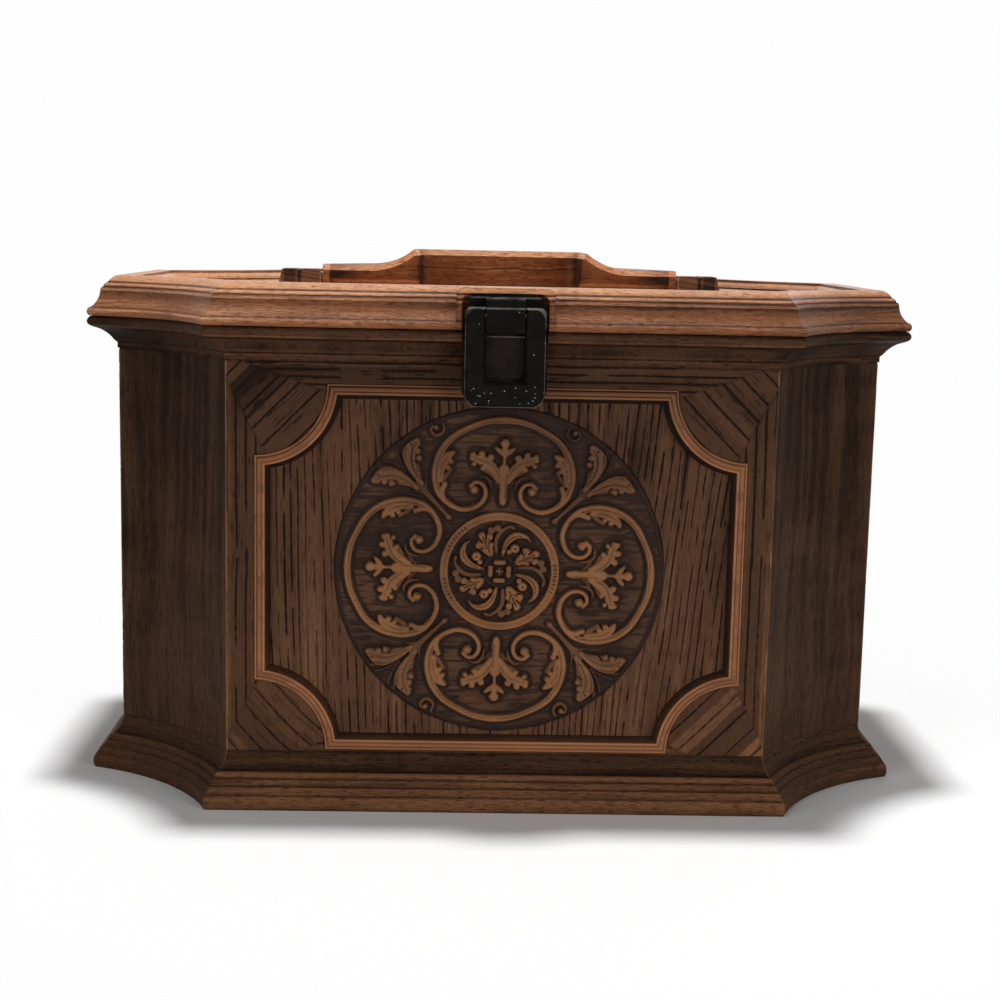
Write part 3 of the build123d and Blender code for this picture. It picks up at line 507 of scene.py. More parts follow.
def plan_of_box(g: Graph, place: bpy.types.NodeSocket) -> dict[str, Number]:
    """Finds where a point is on the octagonal plan.

    Args:
        g: The effect's graph.
        place: The point, in metres.

    Returns:
        Its place along (round the box), inset (behind the widest moulding) and mitre (away from the
        nearest corner line), in millimetres, and hollow, which is 1 on the hollowed corners.
    """
    x, y, _ = g.parts(g.scaled(place))
    out_x = HALF_LENGTH - abs(x)
    out_y = HALF_DEPTH - abs(y)
    from_x = out_x + HOLLOW_OFFSET
    from_y = out_y + HOLLOW_OFFSET
    arc = g.hypot(from_x, from_y) - HOLLOW_RADIUS
    nearer = g.math("MINIMUM", out_x, out_y)
    least = g.math("MINIMUM", nearer, arc)
    middle = g.math("MAXIMUM", nearer, g.math("MINIMUM", g.math("MAXIMUM", out_x, out_y), arc))
    on_front, on_end, on_hollow = (g.math("COMPARE", least, out, 0.01) for out in (out_y, out_x, arc))
    side_x, side_y = g.math("SIGN", x), g.math("SIGN", y)
    turn = g.math("ARCTAN2", from_y, from_x) * (HOLLOW_RADIUS + WALL_INSET)
    turn = turn + side_x * HOLLOW_SHIFT_X + side_y * HOLLOW_SHIFT_Y
    along = on_front * (x + side_y * LONG_WALL_SHIFT) + on_end * (y + side_x * END_WALL_SHIFT)
    along = along + on_hollow * turn
    return {"along": along, "inset": least, "mitre": middle - least, "hollow": on_hollow}


def open_grain(g: Graph, across: Number, lengthwise: Number, third: Number,
               coarse: Number) -> dict[str, Number]:
    """Makes open oak grain.

    Args:
        g: The effect's graph.
        across: Place across the grain, in millimetres.
        lengthwise: Place along the grain.
        third: Place across the other two.
        coarse: Size of the grain.

    Returns:
        Its streaks (broad tone), pores (dark dashes) and fine lines, 0 to 1.
    """
    across, lengthwise, third = across / coarse, lengthwise / coarse, third / coarse
    across = across + g.noise(g.vector(across * 0.02, lengthwise * 0.015, third), 1.0, 1.0) * 14.0

    def streak(by_across: float, by_length: float, shift: float) -> Number:
        """Reads noise drawn out along the grain."""
        return g.noise(g.vector(across * by_across + shift, lengthwise * by_length, third * by_across), 1.0)

    return {"streaks": g.span(streak(0.22, 0.008, 3.0), 0.3, 0.7),
            "pores": g.span(streak(1.5, 0.10, 41.0), 0.56, 0.66),
            "fine": streak(3.4, 0.20, 97.0)}


def pebbled(g: Graph, place: bpy.types.NodeSocket) -> dict[str, Number]:
    """Makes the fine pebble of moulded black plastic.

    Args:
        g: The effect's graph.
        place: The point, in metres.

    Returns:
        The pebble (rounded grains) and the glint (each grain's middle, brighter the rarer it is), which
        masks painted glints.
    """
    cells = g.node("ShaderNodeTexVoronoi", {"Vector": g.scaled(place), "Scale": 1.1}, feature="F1").outputs
    distance = Number(g, cells["Distance"])
    rare = g.number("ShaderNodeSeparateColor", 0, {0: cells["Color"]})
    return {"pebble": 1.0 - distance, "glint": (distance < 0.22) * rare}


class Effects:
    """The effects that the finishes share, each built once."""

    def __init__(self) -> None:
        """Builds every effect."""
        self.plan = effect("plan of the box", {"place": None}, plan_of_box)
        self.grain = effect("open grain", {"across": 0.0, "lengthwise": 0.0, "third": 0.0, "coarse": 1.0},
                            open_grain)
        self.pebble = effect("pebble", {"place": None}, pebbled)


@dataclass(frozen=True)
class Spot:
    """The point that a wood finish colours, in millimetres.

    Attributes:
        graph: The material's graph.
        x: Its place along the box's length.
        y: Its place from front to back.
        z: Its height.
        along: Its place round the box.
        inset: Its distance behind the widest moulding.
        mitre: Its distance from the nearest corner line.
        hollow: 1 on the hollowed corners, else 0.
    """

    graph: Graph
    x: Number
    y: Number
    z: Number
    along: Number
    inset: Number
    mitre: Number
    hollow: Number

    def on_wall(self) -> Number:
        """Gives 1 on the case's upright walls, else 0."""
        return (self.z > WALL_FOOT) * (self.z < WALL_HEAD)


# Finishes


WASH = srgb(26, 16, 11)
# Painted highlights on the black plastic: along its edges, round the hasp's outline, and on glinting grains.
PAINTED_EDGE_HIGHLIGHT = srgb(122, 118, 112)
PAINTED_OUTLINE_HIGHLIGHT = srgb(110, 104, 98)
PAINTED_GLINT = (0.6, 0.58, 0.54)


class Stain(Enum):
    """Colours of moulded grain: in its pores and hollows, on plain surface and on rubbed crests; the dark
    and the rubbed ones also serve for painted shade and painted highlights.
    """

    WALL = (WASH, srgb(70, 47, 32), srgb(118, 80, 54))
    FIELD = (WASH, srgb(80, 54, 37), srgb(112, 80, 56))
    FRAME = (WASH, srgb(108, 67, 41), srgb(150, 102, 68))
    MEDALLION = (srgb(36, 23, 17), srgb(90, 60, 40), srgb(128, 87, 55))
    LID = (srgb(38, 20, 12), srgb(122, 74, 44), srgb(200, 144, 105))
    HANDLE = (srgb(34, 19, 12), srgb(128, 73, 38), srgb(190, 128, 86))
    BRACKET = (srgb(34, 27, 22), srgb(122, 84, 60), srgb(200, 144, 105))

    def coloured(self, g: Graph, tone: Number, pores: Number, low: float = 0.0) -> bpy.types.NodeSocket:
        """Colours a surface by its tone.

        Args:
            g: The material's graph.
            tone: Dark at low, plain 0.5 above it and fully rubbed 1 above it.
            pores: How far the pores darken it.
            low: The darkest tone.

        Returns:
            The colour.
        """
        dark, plain, worn = self.value
        colour = g.mix(g.span(tone, low, low + 0.5), dark, plain)
        colour = g.mix(g.span(tone, low + 0.5, low + 1.0), colour, worn)
        return g.mix(pores, colour, dark)


def new_material(name: str) -> tuple[bpy.types.Material, Graph, bpy.types.Node, bpy.types.NodeSocket]:
    """Starts a material.

    Args:
        name: Its name.

    Returns:
        The material, its graph, its principled shader and the object-coordinate output.
    """
    material = bpy.data.materials.new(name)
    material.use_nodes = True
    g = Graph(material.node_tree)
    shader = material.node_tree.nodes["Principled BSDF"]
    return material, g, shader, g.node("ShaderNodeTexCoord").outputs["Object"]


@dataclass(frozen=True)
class WoodFinish:
    """Moulded wood grain with a dark wash and painted shade in its hollows, and worn crests with painted
    highlights.

    Attributes:
        name: Name of the material.
        stain: Its colours.
        coarse: Size of the grain, 1 for the walls' own.
        pores: How strongly the pores show.
        rough: Roughness of the surface.
        specular: Strength of its gloss at right angles.
        edges: How strongly slanting edges are lightened, as rubbed wear and painted highlight, 0 to 1.
        mitres: How strongly the case's corner lines are rubbed light, 0 to 1.
        relief: Depth of the grain's bump, in millimetres.
    """

    name: str
    stain: Stain
    coarse: float = 1.0
    pores: float = 0.5
    rough: float = 0.5
    specular: float = 0.03
    edges: float = 0.0
    mitres: float = 0.0
    relief: float = 0.25

    def course(self, at: Spot) -> dict[str, Term]:
        """Says how the grain runs, as the inputs of the grain's effect."""
        raise NotImplementedError

    def shade(self, at: Spot) -> Number:
        """Says how worn or washed each band of the shapes is, painted highlight and shade included, 0.5
        being plain.
        """
        raise NotImplementedError

    def material(self, effects: Effects) -> bpy.types.Material:
        """Builds the material.

        Args:
            effects: The shared effects.

        Returns:
            The material.
        """
        material, g, shader, place = new_material(self.name)
        at = Spot(g, *g.parts(g.scaled(place)), **g.group(effects.plan, place=place))
        grain = g.group(effects.grain, **{"third": 0.0, "coarse": self.coarse, **self.course(at)})
        blotch = g.noise(g.vector(at.x * 0.03, at.y * 0.03, at.z * 0.05), 1.0, 3.0)
        tone = self.shade(at) + (grain["streaks"] - 0.5) * 0.20
        tone = tone + (grain["fine"] - 0.5) * 0.40 + (blotch - 0.5) * 0.35
        # Leaning faces such as chamfers are lightened: rubbed wear and a painted highlight.
        if self.edges:
            tone = tone + self.slant(g) * self.edges
        colour = self.stain.coloured(g, tone, grain["pores"] * self.pores)
        if self.mitres:
            rub = g.span(at.mitre, 0.55, 0.1) * (at.z < CORNICE_FOOT) * g.span(blotch, 0.3, 0.6)
            colour = g.mix(rub * self.mitres, colour, self.stain.value[2])
        g.surface(shader, colour, grain["pores"] * 0.18 + blotch * 0.14 + (self.rough - 0.07), self.specular,
                  grain["fine"] * 0.45 - grain["pores"], self.relief)
        return material

    @staticmethod
    def slant(g: Graph) -> Number:
        """Finds faces that lean, such as chamfers, leaving out upright and nearly level ones.

        Args:
            g: The material's graph.

        Returns:
            1 on faces that lean, else 0.
        """
        x, y, z = (abs(part) for part in g.parts(g.node("ShaderNodeTexCoord").outputs["Normal"]))
        widest = g.math("MAXIMUM", x, g.math("MAXIMUM", y, z))
        return g.span(widest, 0.97, 0.80) * g.span(z, 0.15, 0.35)


class CaseFinish(WoodFinish):
    """The case's grain, upright on the walls and along the mouldings. Its bands give light crests and dark
    coves, partly wear and wash, partly painted highlight and shade.

    Attributes:
        BASE: Bands of the base moulding, by height.
        CORNICE: Bands of the cornice, by height.
    """

    BASE: ClassVar[Bands] = (
        (0.0, 0.36), (0.8, 0.74), (3.0, 0.84), (5.7, 1.0), (6.3, 0.58), (6.7, 0.58), (7.1, 0.78),
        (9.2, 0.88), (9.65, 0.52), (10.3, 0.74), (11.9, 0.78), (12.4, 0.42), (13.1, 0.66), (14.6, 1.25),
        (15.1, 0.06), (16.0, 0.22), (19.0, 0.40), (23.2, 0.20))
    CORNICE: ClassVar[Bands] = (
        (192.2, 0.10), (193.0, 0.34), (195.0, 0.56), (195.5, 0.0), (196.4, 0.34), (197.6, 0.18),
        (201.2, 0.30), (202.2, 0.05), (202.6, 0.62), (203.2, 0.74), (203.6, 0.36), (205.2, 0.52),
        (206.0, 0.40), (207.0, 0.10))

    def course(self, at: Spot) -> dict[str, Term]:
        """Runs upright on the walls, and finer along the mouldings.

        Args:
            at: The point.

        Returns:
            Inputs of the grain's effect.
        """
        g, wall = at.graph, at.on_wall()
        return {"across": g.choose(wall, at.z + at.inset, at.along),
                "lengthwise": g.choose(wall, at.along, at.z),
                "third": g.choose(wall, 0.0, at.inset),
                "coarse": g.choose(wall, self.coarse * 0.5, self.coarse)}

    def shade(self, at: Spot) -> Number:
        """Follows the mouldings' bands, which fade on the hollowed corners, keeps the flat walls plain, and
        paints shade on the hollowed corners, deeper towards the top.

        Args:
            at: The point.

        Returns:
            The shade, 0.5 being plain.
        """
        g = at.graph
        bands = g.choose(at.z < HALF_WAY, g.bands(at.z, self.CORNICE), g.bands(at.z, self.BASE))
        bands = (bands - 0.40) * (at.hollow * -0.55 + 1.0) + 0.40
        # Painted shade on the hollowed corners, deeper towards the top, and stronger on their upright walls.
        shadowed = at.hollow * g.span(at.z, 20.0, 200.0, -0.07, -0.17)
        return g.choose(at.on_wall(), shadowed + bands, shadowed * 1.6 + 0.44)


class LidFinish(WoodFinish):
    """The lid's grain, along the mouldings and, on the flat top, along the box. Its bands mix wear and wash
    with painted highlight and shade, the top edge lightest.

    Attributes:
        SIDE: Bands of the side mouldings, by height.
        TOP: Bands of the top's border, by inset.
    """

    SIDE: ClassVar[Bands] = (
        (207.0, 0.10), (207.5, 0.34), (208.8, 0.50), (210.0, 0.68), (210.5, 0.60), (210.8, 0.12),
        (211.1, 0.18), (211.5, 0.48), (213.0, 0.60), (216.0, 0.42), (218.2, 0.22), (218.6, 0.80),
        (219.2, 0.62), (219.8, 0.14), (220.1, 0.14), (220.6, 0.76), (221.5, 0.92), (221.9, 0.12),
        (222.2, 0.22), (222.7, 0.84), (223.8, 1.0), (224.8, 1.05))
    TOP: ClassVar[Bands] = (
        (8.0, 0.95), (12.5, 0.85), (12.9, 0.35), (13.4, 0.80), (16.3, 0.80), (16.7, 0.40), (17.2, 0.84),
        (19.7, 0.98), (20.3, 0.70), (21.5, 0.95), (24.0, 0.86), (25.0, 0.86), (35.8, 0.80), (36.2, 0.55),
        (37.7, 0.95), (39.4, 0.66), (40.0, 0.80), (44.0, 0.80))

    def course(self, at: Spot) -> dict[str, Term]:
        """Runs along the mouldings, and along the box inside the border.

        Args:
            at: The point.

        Returns:
            Inputs of the grain's effect.
        """
        flat = at.inset > LID_BORDER_INSET
        return {"across": at.graph.choose(flat, at.z + at.inset, at.y),
                "lengthwise": at.graph.choose(flat, at.along, at.x)}

    def shade(self, at: Spot) -> Number:
        """Follows the bands outside, keeps the underside even, and paints light that is lighter on the left
        and darker towards the right.

        Args:
            at: The point.

        Returns:
            The shade, 0.5 being plain.
        """
        g = at.graph
        bands = g.choose(at.inset > LID_SIDE_INSET, g.bands(at.z, self.SIDE), g.bands(at.inset, self.TOP))
        outside = g.math("MAXIMUM", at.z > LID_UPPER, at.inset < LID_SIDE_INSET)
        # Painted light across the lid: lighter on the left, darker towards the right, with slight painted
        # shade on the hollowed corners.
        painted_side_light = at.hollow * -0.02 + g.span(at.x, -150.0, 170.0, 0.08, -0.14)
        return painted_side_light + g.choose(outside, 0.55, bands)


class HandleFinish(WoodFinish):
    """The handle's grain, along the box, with one dark line that wanders along its grip.

    Attributes:
        BANDS: Bands along each half of the handle, by distance from the middle: painted shade at the ends of
            the finger opening, darker towards the lugs, and a painted highlight along each end.
    """

    # Painted shade in the finger opening's corners, darkening towards the lugs, and a light strip on each
    # end as a painted highlight.
    BANDS: ClassVar[Bands] = (
        (30.0, 0.56), (36.0, 0.34), (38.3, 0.04), (39.2, 0.34), (44.0, 0.58), (54.0, 0.52), (64.0, 0.36),
        (74.0, 0.12), (80.4, 0.0), (81.2, 0.70), (83.9, 0.80))

    def course(self, at: Spot) -> dict[str, Term]:
        """Runs along the box."""
        return {"across": at.y + at.z, "lengthwise": at.x}

    def shade(self, at: Spot) -> Number:
        """Follows the bands and draws the wandering line.

        Args:
            at: The point.

        Returns:
            The shade, 0.5 being plain.
        """
        g = at.graph
        sway = g.noise(g.vector(at.x * 0.035, 3.0, 0.0), 1.0, 1.0)
        groove = g.span(abs(sway * 3.6 + 227.8 - at.z), 0.42, 0.12) * (at.y > 20.0)
        return g.bands(abs(at.x), self.BANDS) - groove * 0.5


class BracketFinish(WoodFinish):
    """The grain of the handle's lugs, from front to back.

    Attributes:
        BANDS: Bands across each lug, by distance from the box's middle.
    """

    BANDS: ClassVar[Bands] = (
        (84.7, 0.80), (85.6, 0.48), (93.6, 0.52), (94.2, 0.10), (95.4, 0.10), (95.9, 0.40), (97.2, 0.16),
        (101.6, 0.16), (103.2, 0.55), (104.6, 0.8))

    def course(self, at: Spot) -> dict[str, Term]:
        """Runs from front to back."""
        return {"across": at.x * 0.15 + at.z, "lengthwise": at.y}

    def shade(self, at: Spot) -> Number:
        """Follows the bands."""
        return at.graph.bands(abs(at.x), self.BANDS)


@dataclass(frozen=True)
class ReliefFinish:
    """Carved surface whose colour follows its own relief: a dark wash below, worn crests above, and painted
    shade written into its points.

    Attributes:
        name: Name of the material.
        stain: Its colours, on the ground, half way up and on the crests.
        across: Axis across the grain, 0 for X, 1 for Y, 2 for Z.
        lengthwise: Axis along the grain.
        rough: Roughness of the surface.
        specular: Strength of its gloss at right angles.
        pores: How strongly the pores show.
    """

    name: str
    stain: Stain
    across: int
    lengthwise: int
    rough: float = 0.5
    specular: float = 0.04
    pores: float = 0.5

    def material(self, effects: Effects) -> bpy.types.Material:
        """Builds the material, which reads the attributes "relief" and "tone" of its piece.

        Args:
            effects: The shared effects.

        Returns:
            The material.
        """
        material, g, shader, place = new_material(self.name)
        relief = g.number("ShaderNodeAttribute", "Fac", attribute_name="relief")
        tone = g.number("ShaderNodeAttribute", "Fac", attribute_name="tone")
        spot = g.parts(g.scaled(place))
        grain = g.group(effects.grain, across=spot[self.across], lengthwise=spot[self.lengthwise],
                        coarse=0.8)
        value = relief + (tone - 0.5) * 0.4 + (grain["fine"] - 0.5) * 0.35
        value = value + (g.noise(place, 22.0, 3.0) - 0.5) * 0.35
        colour = self.stain.coloured(g, value, grain["pores"] * self.pores, 0.05)
        g.surface(shader, colour, relief * -0.12 + (self.rough + 0.08), self.specular,
                  grain["fine"] * 0.5 - grain["pores"] * 0.6, 0.15)
        return material


@dataclass(frozen=True)
class PlainFinish:
    """Smooth plastic or metal with slight unevenness.

    Attributes:
        name: Name of the material.
        colour: Its colour.
        other: A second colour that it drifts towards.
        rough: Roughness of the surface.
        metal: 1 for metal, 0 for plastic.
        specular: Strength of its gloss at right angles.
        brushed: How much finer marks run one way, 0 for none.
    """

    name: str
    colour: Colour
    other: Colour
    rough: float
    metal: float = 1.0
    specular: float = 0.5
    brushed: float = 0.2

    def material(self, effects: Effects) -> bpy.types.Material:
        """Builds the material.

        Args:
            effects: The shared effects, not used here.

        Returns:
            The material.
        """
        material, g, shader, place = new_material(self.name)
        cloud = g.noise(place, 90.0, 4.0)
        spots = g.noise(place, 900.0, 3.0, 0.6)
        drawn = g.node("ShaderNodeMapping", {"Vector": place, "Scale": (60.0, 2600.0, 2600.0)})
        marks = g.noise(drawn.outputs[0], 1.0) * self.brushed
        colour = g.mix(g.span(spots * 0.4 + cloud * 0.7, 0.4, 0.75), self.colour, self.other)
        shader.inputs["Metallic"].default_value = self.metal
        g.surface(shader, colour, marks + cloud * 0.16 + (self.rough - 0.08), self.specular, marks + spots,
                  0.06, strength=0.6)
        return material


@dataclass(frozen=True)
class PebbleFinish:
    """Black moulded plastic with a fine pebble, painted grey highlights along some edges and a few grains
    with painted glints.

    Attributes:
        name: Name of the material.
        colour: Its colour.
        dusty: Colour that it drifts towards where it is rubbed.
        glint: How much the painted glints on the grains show.
        lines: Heights of edges that get a patchy painted grey highlight, each with its half width, in
            millimetres.
        outline: Middle height, half width, half height and corner radius of an outline with a patchy painted
            highlight, if any.
        sparkle: Height below which the painted glints come close together.
    """

    name: str
    colour: Colour
    dusty: Colour
    glint: float = 0.5
    lines: tuple[tuple[float, float], ...] = ()
    outline: tuple[float, float, float, float] | None = None
    sparkle: float = 0.0

    def material(self, effects: Effects) -> bpy.types.Material:
        """Builds the material.

        Args:
            effects: The shared effects.

        Returns:
            The material.
        """
        material, g, shader, place = new_material(self.name)
        pebble = g.group(effects.pebble, place=place)
        cloud = g.noise(place, 160.0, 4.0)
        x, _, z = g.parts(g.scaled(place))
        colour = g.mix(g.span(cloud, 0.35, 0.7), self.colour, self.dusty)
        # Patchy mask for the painted grey highlights along edges and round the outline.
        rub = g.span(cloud, 0.30, 0.55) * 0.55
        for height, half in self.lines:
            colour = g.mix(g.span(abs(z - height), half, half * 0.4) * rub, colour, PAINTED_EDGE_HIGHLIGHT)
        if self.outline:
            middle, wide, tall, corner = self.outline
            over_x = g.math("MAXIMUM", abs(x) - (wide - corner), 0.0)
            over_z = g.math("MAXIMUM", abs(z - middle) - (tall - corner), 0.0)
            edge = g.span(g.hypot(over_x, over_z), corner - 0.45, corner - 0.1)
            colour = g.mix(edge * rub, colour, PAINTED_OUTLINE_HIGHLIGHT)
        # Painted glints on a few grains, closer together low on the hasp.
        rare = g.choose(z < self.sparkle, 0.988, 0.91)
        colour = g.mix((pebble["glint"] > rare) * self.glint, colour, PAINTED_GLINT)
        g.surface(shader, colour, cloud * 0.2 + 0.34, 0.03, pebble["pebble"], 0.3)
        return material


# Meshes


def read_points(mesh: bmesh.types.BMesh) -> np.ndarray:
    """Reads a mesh's points, one row each."""
    return np.array([vert.co[:] for vert in mesh.verts])


def shade_points(mesh: bmesh.types.BMesh, relief: np.ndarray, tone: np.ndarray | float) -> None:
    """Writes how worn every point is, painted shade included, and its tone, for the materials to read.

    Args:
        mesh: The mesh.
        relief: How worn each point is, lowered where shade is painted, 1 being fully worn.
        tone: Tone of each point, or one for all, 0.5 being plain.
    """
    for name, values in (("relief", relief), ("tone", tone)):
        layer = mesh.verts.layers.float.new(name)
        for vert, value in zip(mesh.verts, np.broadcast_to(values, len(mesh.verts)).tolist()):
            vert[layer] = value


def add_object(name: str, data: bpy.types.ID) -> bpy.types.Object:
    """Adds an object to the scene.

    Args:
        name: Its name.
        data: Its mesh, lamp or camera.

    Returns:
        The object.
    """
    made = bpy.data.objects.new(name, data)
    bpy.context.scene.collection.objects.link(made)
    return made


def put_piece(mesh: bmesh.types.BMesh, name: str, body: str, material: bpy.types.Material,
              crease: float = math.pi) -> bpy.types.Object:
    """Makes an object of a mesh and sets it on its body.

    Args:
        mesh: The finished mesh, in the box's own frame in metres. It is freed here.
        name: Name of the piece.
        body: Name of the body that it rides on.
        material: Its material.
        crease: Angle between faces from which the edge between them stays sharp.

    Returns:
        The object.
    """
    if crease < math.pi:
        for edge in mesh.edges:
            edge.smooth = edge.calc_face_angle(0.0) < crease
    data = bpy.data.meshes.new(name)
    mesh.to_mesh(data)
    mesh.free()
    data.polygons.foreach_set("use_smooth", np.full(len(data.polygons), True))
    data.materials.append(material)
    piece = add_object(name, data)
    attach(piece, body)
    LOG.info("%s: %d faces on %s", name, len(data.polygons), body)
    return piece


class Wall(Enum):
    """The four flat walls, each with the turn about Z that brings the front's drawing to it."""

    FRONT = 0.0
    RIGHT = 90.0
    BACK = 180.0
    LEFT = 270.0

    def placed(self, sideways: np.ndarray, out: np.ndarray, up: np.ndarray) -> np.ndarray:
        """Places a drawing on the wall.

        Args:
            sideways: Place across the wall, in millimetres, positive to the right from outside.
            out: Distance of each point from the box's middle.
            up: Height of each point.

        Returns:
            Points in metres.
        """
        turn = math.radians(self.value)
        x = sideways * math.cos(turn) + out * math.sin(turn)
        y = sideways * math.sin(turn) - out * math.cos(turn)
        return np.column_stack([x, y, up]) * MM


@dataclass
class PanelWall:
    """The carved grain of one flat wall, and the moulded frame round its sunk field.

    Attributes:
        wall: Which wall it is.
        half: Half width of the wall between the hollowed corners.
        face: Distance of the wall's face from the box's middle.
        panel_half: Half width of the framed panel.
        panel_bottom: Height of the panel's lower edge.
        panel_top: Height of its upper edge.
        notch: Radius of the notches in its corners.
        seed: Fixes the grain.
        medallion: Radius left bare for the medallion, 0 for none.
        frame_width: Width of the frame.
        field_sunk: Depth of the field behind the wall's face.
        bottom: Height of the planks' lower edge.
        top: Height of their upper edge.
        field_pitch: Spacing of the field's grooves.
        plank_pitch: Width of a plank.
        skin: How far the carving's lowest points stand off the wall.
        groove: Depth of the grooves.
        arc_steps: Count of steps round each notch of the frame.
        moulding: Section of the frame as (inset, rise, shade), the shade painting shadow down its inner
            slope into the field.
    """

    wall: Wall
    half: float
    face: float
    panel_half: float
    panel_bottom: float
    panel_top: float
    notch: float
    seed: int
    medallion: float = 0.0
    frame_width: float = 6.3
    field_sunk: float = 3.0
    bottom: float = 23.3
    top: float = 192.3
    field_pitch: float = 3.3
    plank_pitch: float = 4.2
    skin: float = 0.06
    groove: float = 0.42
    arc_steps: int = 24
    moulding: tuple[tuple[float, float, float], ...] = (
        (-0.15, 0.0, 0.0), (-0.15, 1.1, 0.15), (0.05, 1.40, 0.78), (0.45, 1.46, 0.74), (0.85, 1.32, 0.34),
        (1.12, 1.90, 0.38), (1.45, 2.12, 0.58), (2.20, 2.28, 0.68), (2.80, 2.18, 0.60), (3.05, 1.96, 0.30),
        (3.30, 2.08, 0.54), (3.85, 2.14, 0.86), (4.25, 2.00, 0.72), (4.50, 1.70, 0.10), (5.40, -0.40, 0.05),
        (6.55, -2.90, -0.04))

    def panel_distance(self, u: np.ndarray, z: np.ndarray) -> np.ndarray:
        """Measures how far points lie outside the panel's notched outline.

        Args:
            u: Place across the wall.
            z: Height.

        Returns:
            The distance, negative inside.
        """
        middle = (self.panel_bottom + self.panel_top) / 2
        tall = (self.panel_top - self.panel_bottom) / 2
        across = np.abs(u) - self.panel_half
        upright = np.abs(z - middle) - tall
        corner = self.notch - np.hypot(across, upright)
        return np.maximum(np.maximum(across, upright), corner)

    def field_grain(self, u: np.ndarray, z: np.ndarray) -> tuple[np.ndarray, np.ndarray]:
        """Carves the field: thin, broken upright grooves that lean outwards on the right.

        Args:
            u: Place across the wall.
            z: Height.

        Returns:
            The depth of the grooves, 0 to 1, and the tone of each strip, 0 to 1.
        """
        noise = Lattice(self.seed)
        still = np.zeros(len(z))
        lean = 0.13 * ramp(u, 10.0, 60.0) - 0.03
        sway = 4.5 * noise.summed(u * 0.04, z * 0.010) + 0.9 * noise.at(u * 0.2, z * 0.03)
        place = u - lean * (z - 104.0) + sway
        lines = place / self.field_pitch + 0.8 * noise.at(place * 0.11, still + 7.5)
        strip = np.floor(lines)
        gap = np.abs(lines - strip - 0.5) * self.field_pitch
        bold = noise.at(strip * 5.7, still + 3.0)
        broken = ramp(noise.at(strip * 7.3 + 3.0, z * 0.10), 0.20, 0.42)
        jag = 0.22 * (noise.at(strip * 3.1 + 9.0, z * 0.9) - 0.5)
        jag = jag + 0.18 * (noise.at(strip * 1.9, z * 0.3) - 0.5)
        width = (0.21 + 0.22 * bold + jag) * broken
        depth = ramp(width - gap, -0.10, 0.16) * (0.55 + 0.45 * broken) * ramp(width, 0.02, 0.12)
        dashes = ramp(noise.at(u * 1.6 + 40.0, z * 0.16), 0.84, 0.95) * 0.30
        return np.maximum(depth * (0.6 + 0.4 * bold), dashes), noise.at(strip * 1.7 + 3.0, z * 0.02)

    def plank_grain(self, u: np.ndarray, z: np.ndarray) -> tuple[np.ndarray, np.ndarray]:
        """Carves the planks that run up the stiles, turn across the corners and lie on the rails.

        Args:
            u: Place across the wall.
            z: Height.

        Returns:
            The depth of the grooves, 0 to 1, and the tone of each plank, 0 to 1.
        """
        noise = Lattice(self.seed + 50)
        right, upper = np.sign(u), np.sign(z - HALF_WAY)
        quarter = right * 3.0 + upper * 7.0 + 11.0
        side = self.half - np.abs(u)
        above = self.top - z
        below = z - (self.bottom - 2.0)
        rail = np.minimum(above * 1.3, below + 7.5)
        nearer = np.minimum(side, rail)
        corner = 3.2 + 0.34 * (side + np.minimum(above, below) - 16.3)
        on_corner = corner <= nearer
        scale = np.where(on_corner, 0.53, 1.0)
        lengthwise = np.where(on_corner, (u - z * right * upper) * 0.7, np.where(rail < side, u, z))
        ring = np.minimum(nearer, corner) * np.where(on_corner, 1.1, 1.0)
        wander = 1.1 * (noise.at(lengthwise * 0.035, quarter) - 0.5)
        ring = ring + wander + 0.5 * noise.at(ring * 0.2, quarter)
        lines = ring / self.plank_pitch + 0.35
        strip = np.floor(lines)
        gap = np.abs(lines - strip - 0.5) * self.plank_pitch / scale
        bold = noise.at(strip * 4.3 + quarter, quarter)
        broken = ramp(noise.at(strip * 6.1 + quarter, lengthwise * 0.05), 0.22, 0.45)
        broken = np.maximum(broken, np.where(on_corner, 0.8, 0.0))
        jag = 0.30 * (noise.at(strip * 3.3 + 5.0, lengthwise * 1.5) - 0.5)
        width = (0.20 + 0.34 * bold + jag) * broken
        depth = ramp(width - gap, -0.20, 0.24) * ramp(width, 0.02, 0.12)
        dashes = ramp(noise.at(ring * 1.3 / scale + 11.0, lengthwise * 0.14), 0.74, 0.90) * 0.45
        seam = ramp(np.abs(corner - nearer), 0.8, 0.2) * 0.18
        tone = noise.at(strip * 2.7 + quarter, quarter) - 0.5
        return np.maximum(np.maximum(depth, dashes), seam), 0.5 + np.where(on_corner, 1.1, 0.6) * tone

    def sheet(self, spacing: tuple[float, float], low: float, high: float, half: float,
              keep: Callable[[np.ndarray, np.ndarray], np.ndarray]) -> bmesh.types.BMesh:
        """Cuts a flat sheet to an outline.

        Args:
            spacing: Spacing of its points across the wall and up it.
            low: Height of its lower edge.
            high: Height of its upper edge.
            half: Its half width.
            keep: Says which points stay.

        Returns:
            The sheet, drawn flat with X across and Y up, in millimetres.
        """
        mesh = bmesh.new()
        columns = int(2 * half / spacing[0])
        rows = int((high - low) / spacing[1])
        bmesh.ops.create_grid(mesh, x_segments=columns, y_segments=rows, size=0.5)
        bmesh.ops.scale(mesh, vec=(2 * half, high - low, 1.0), verts=mesh.verts)
        bmesh.ops.translate(mesh, vec=(0.0, (low + high) / 2, 0.0), verts=mesh.verts)
        points = read_points(mesh)
        stays = keep(points[:, 0], points[:, 1])
        gone = [vert for vert, stay in zip(list(mesh.verts), stays) if not stay]
        bmesh.ops.delete(mesh, geom=gone, context="VERTS")
        return mesh

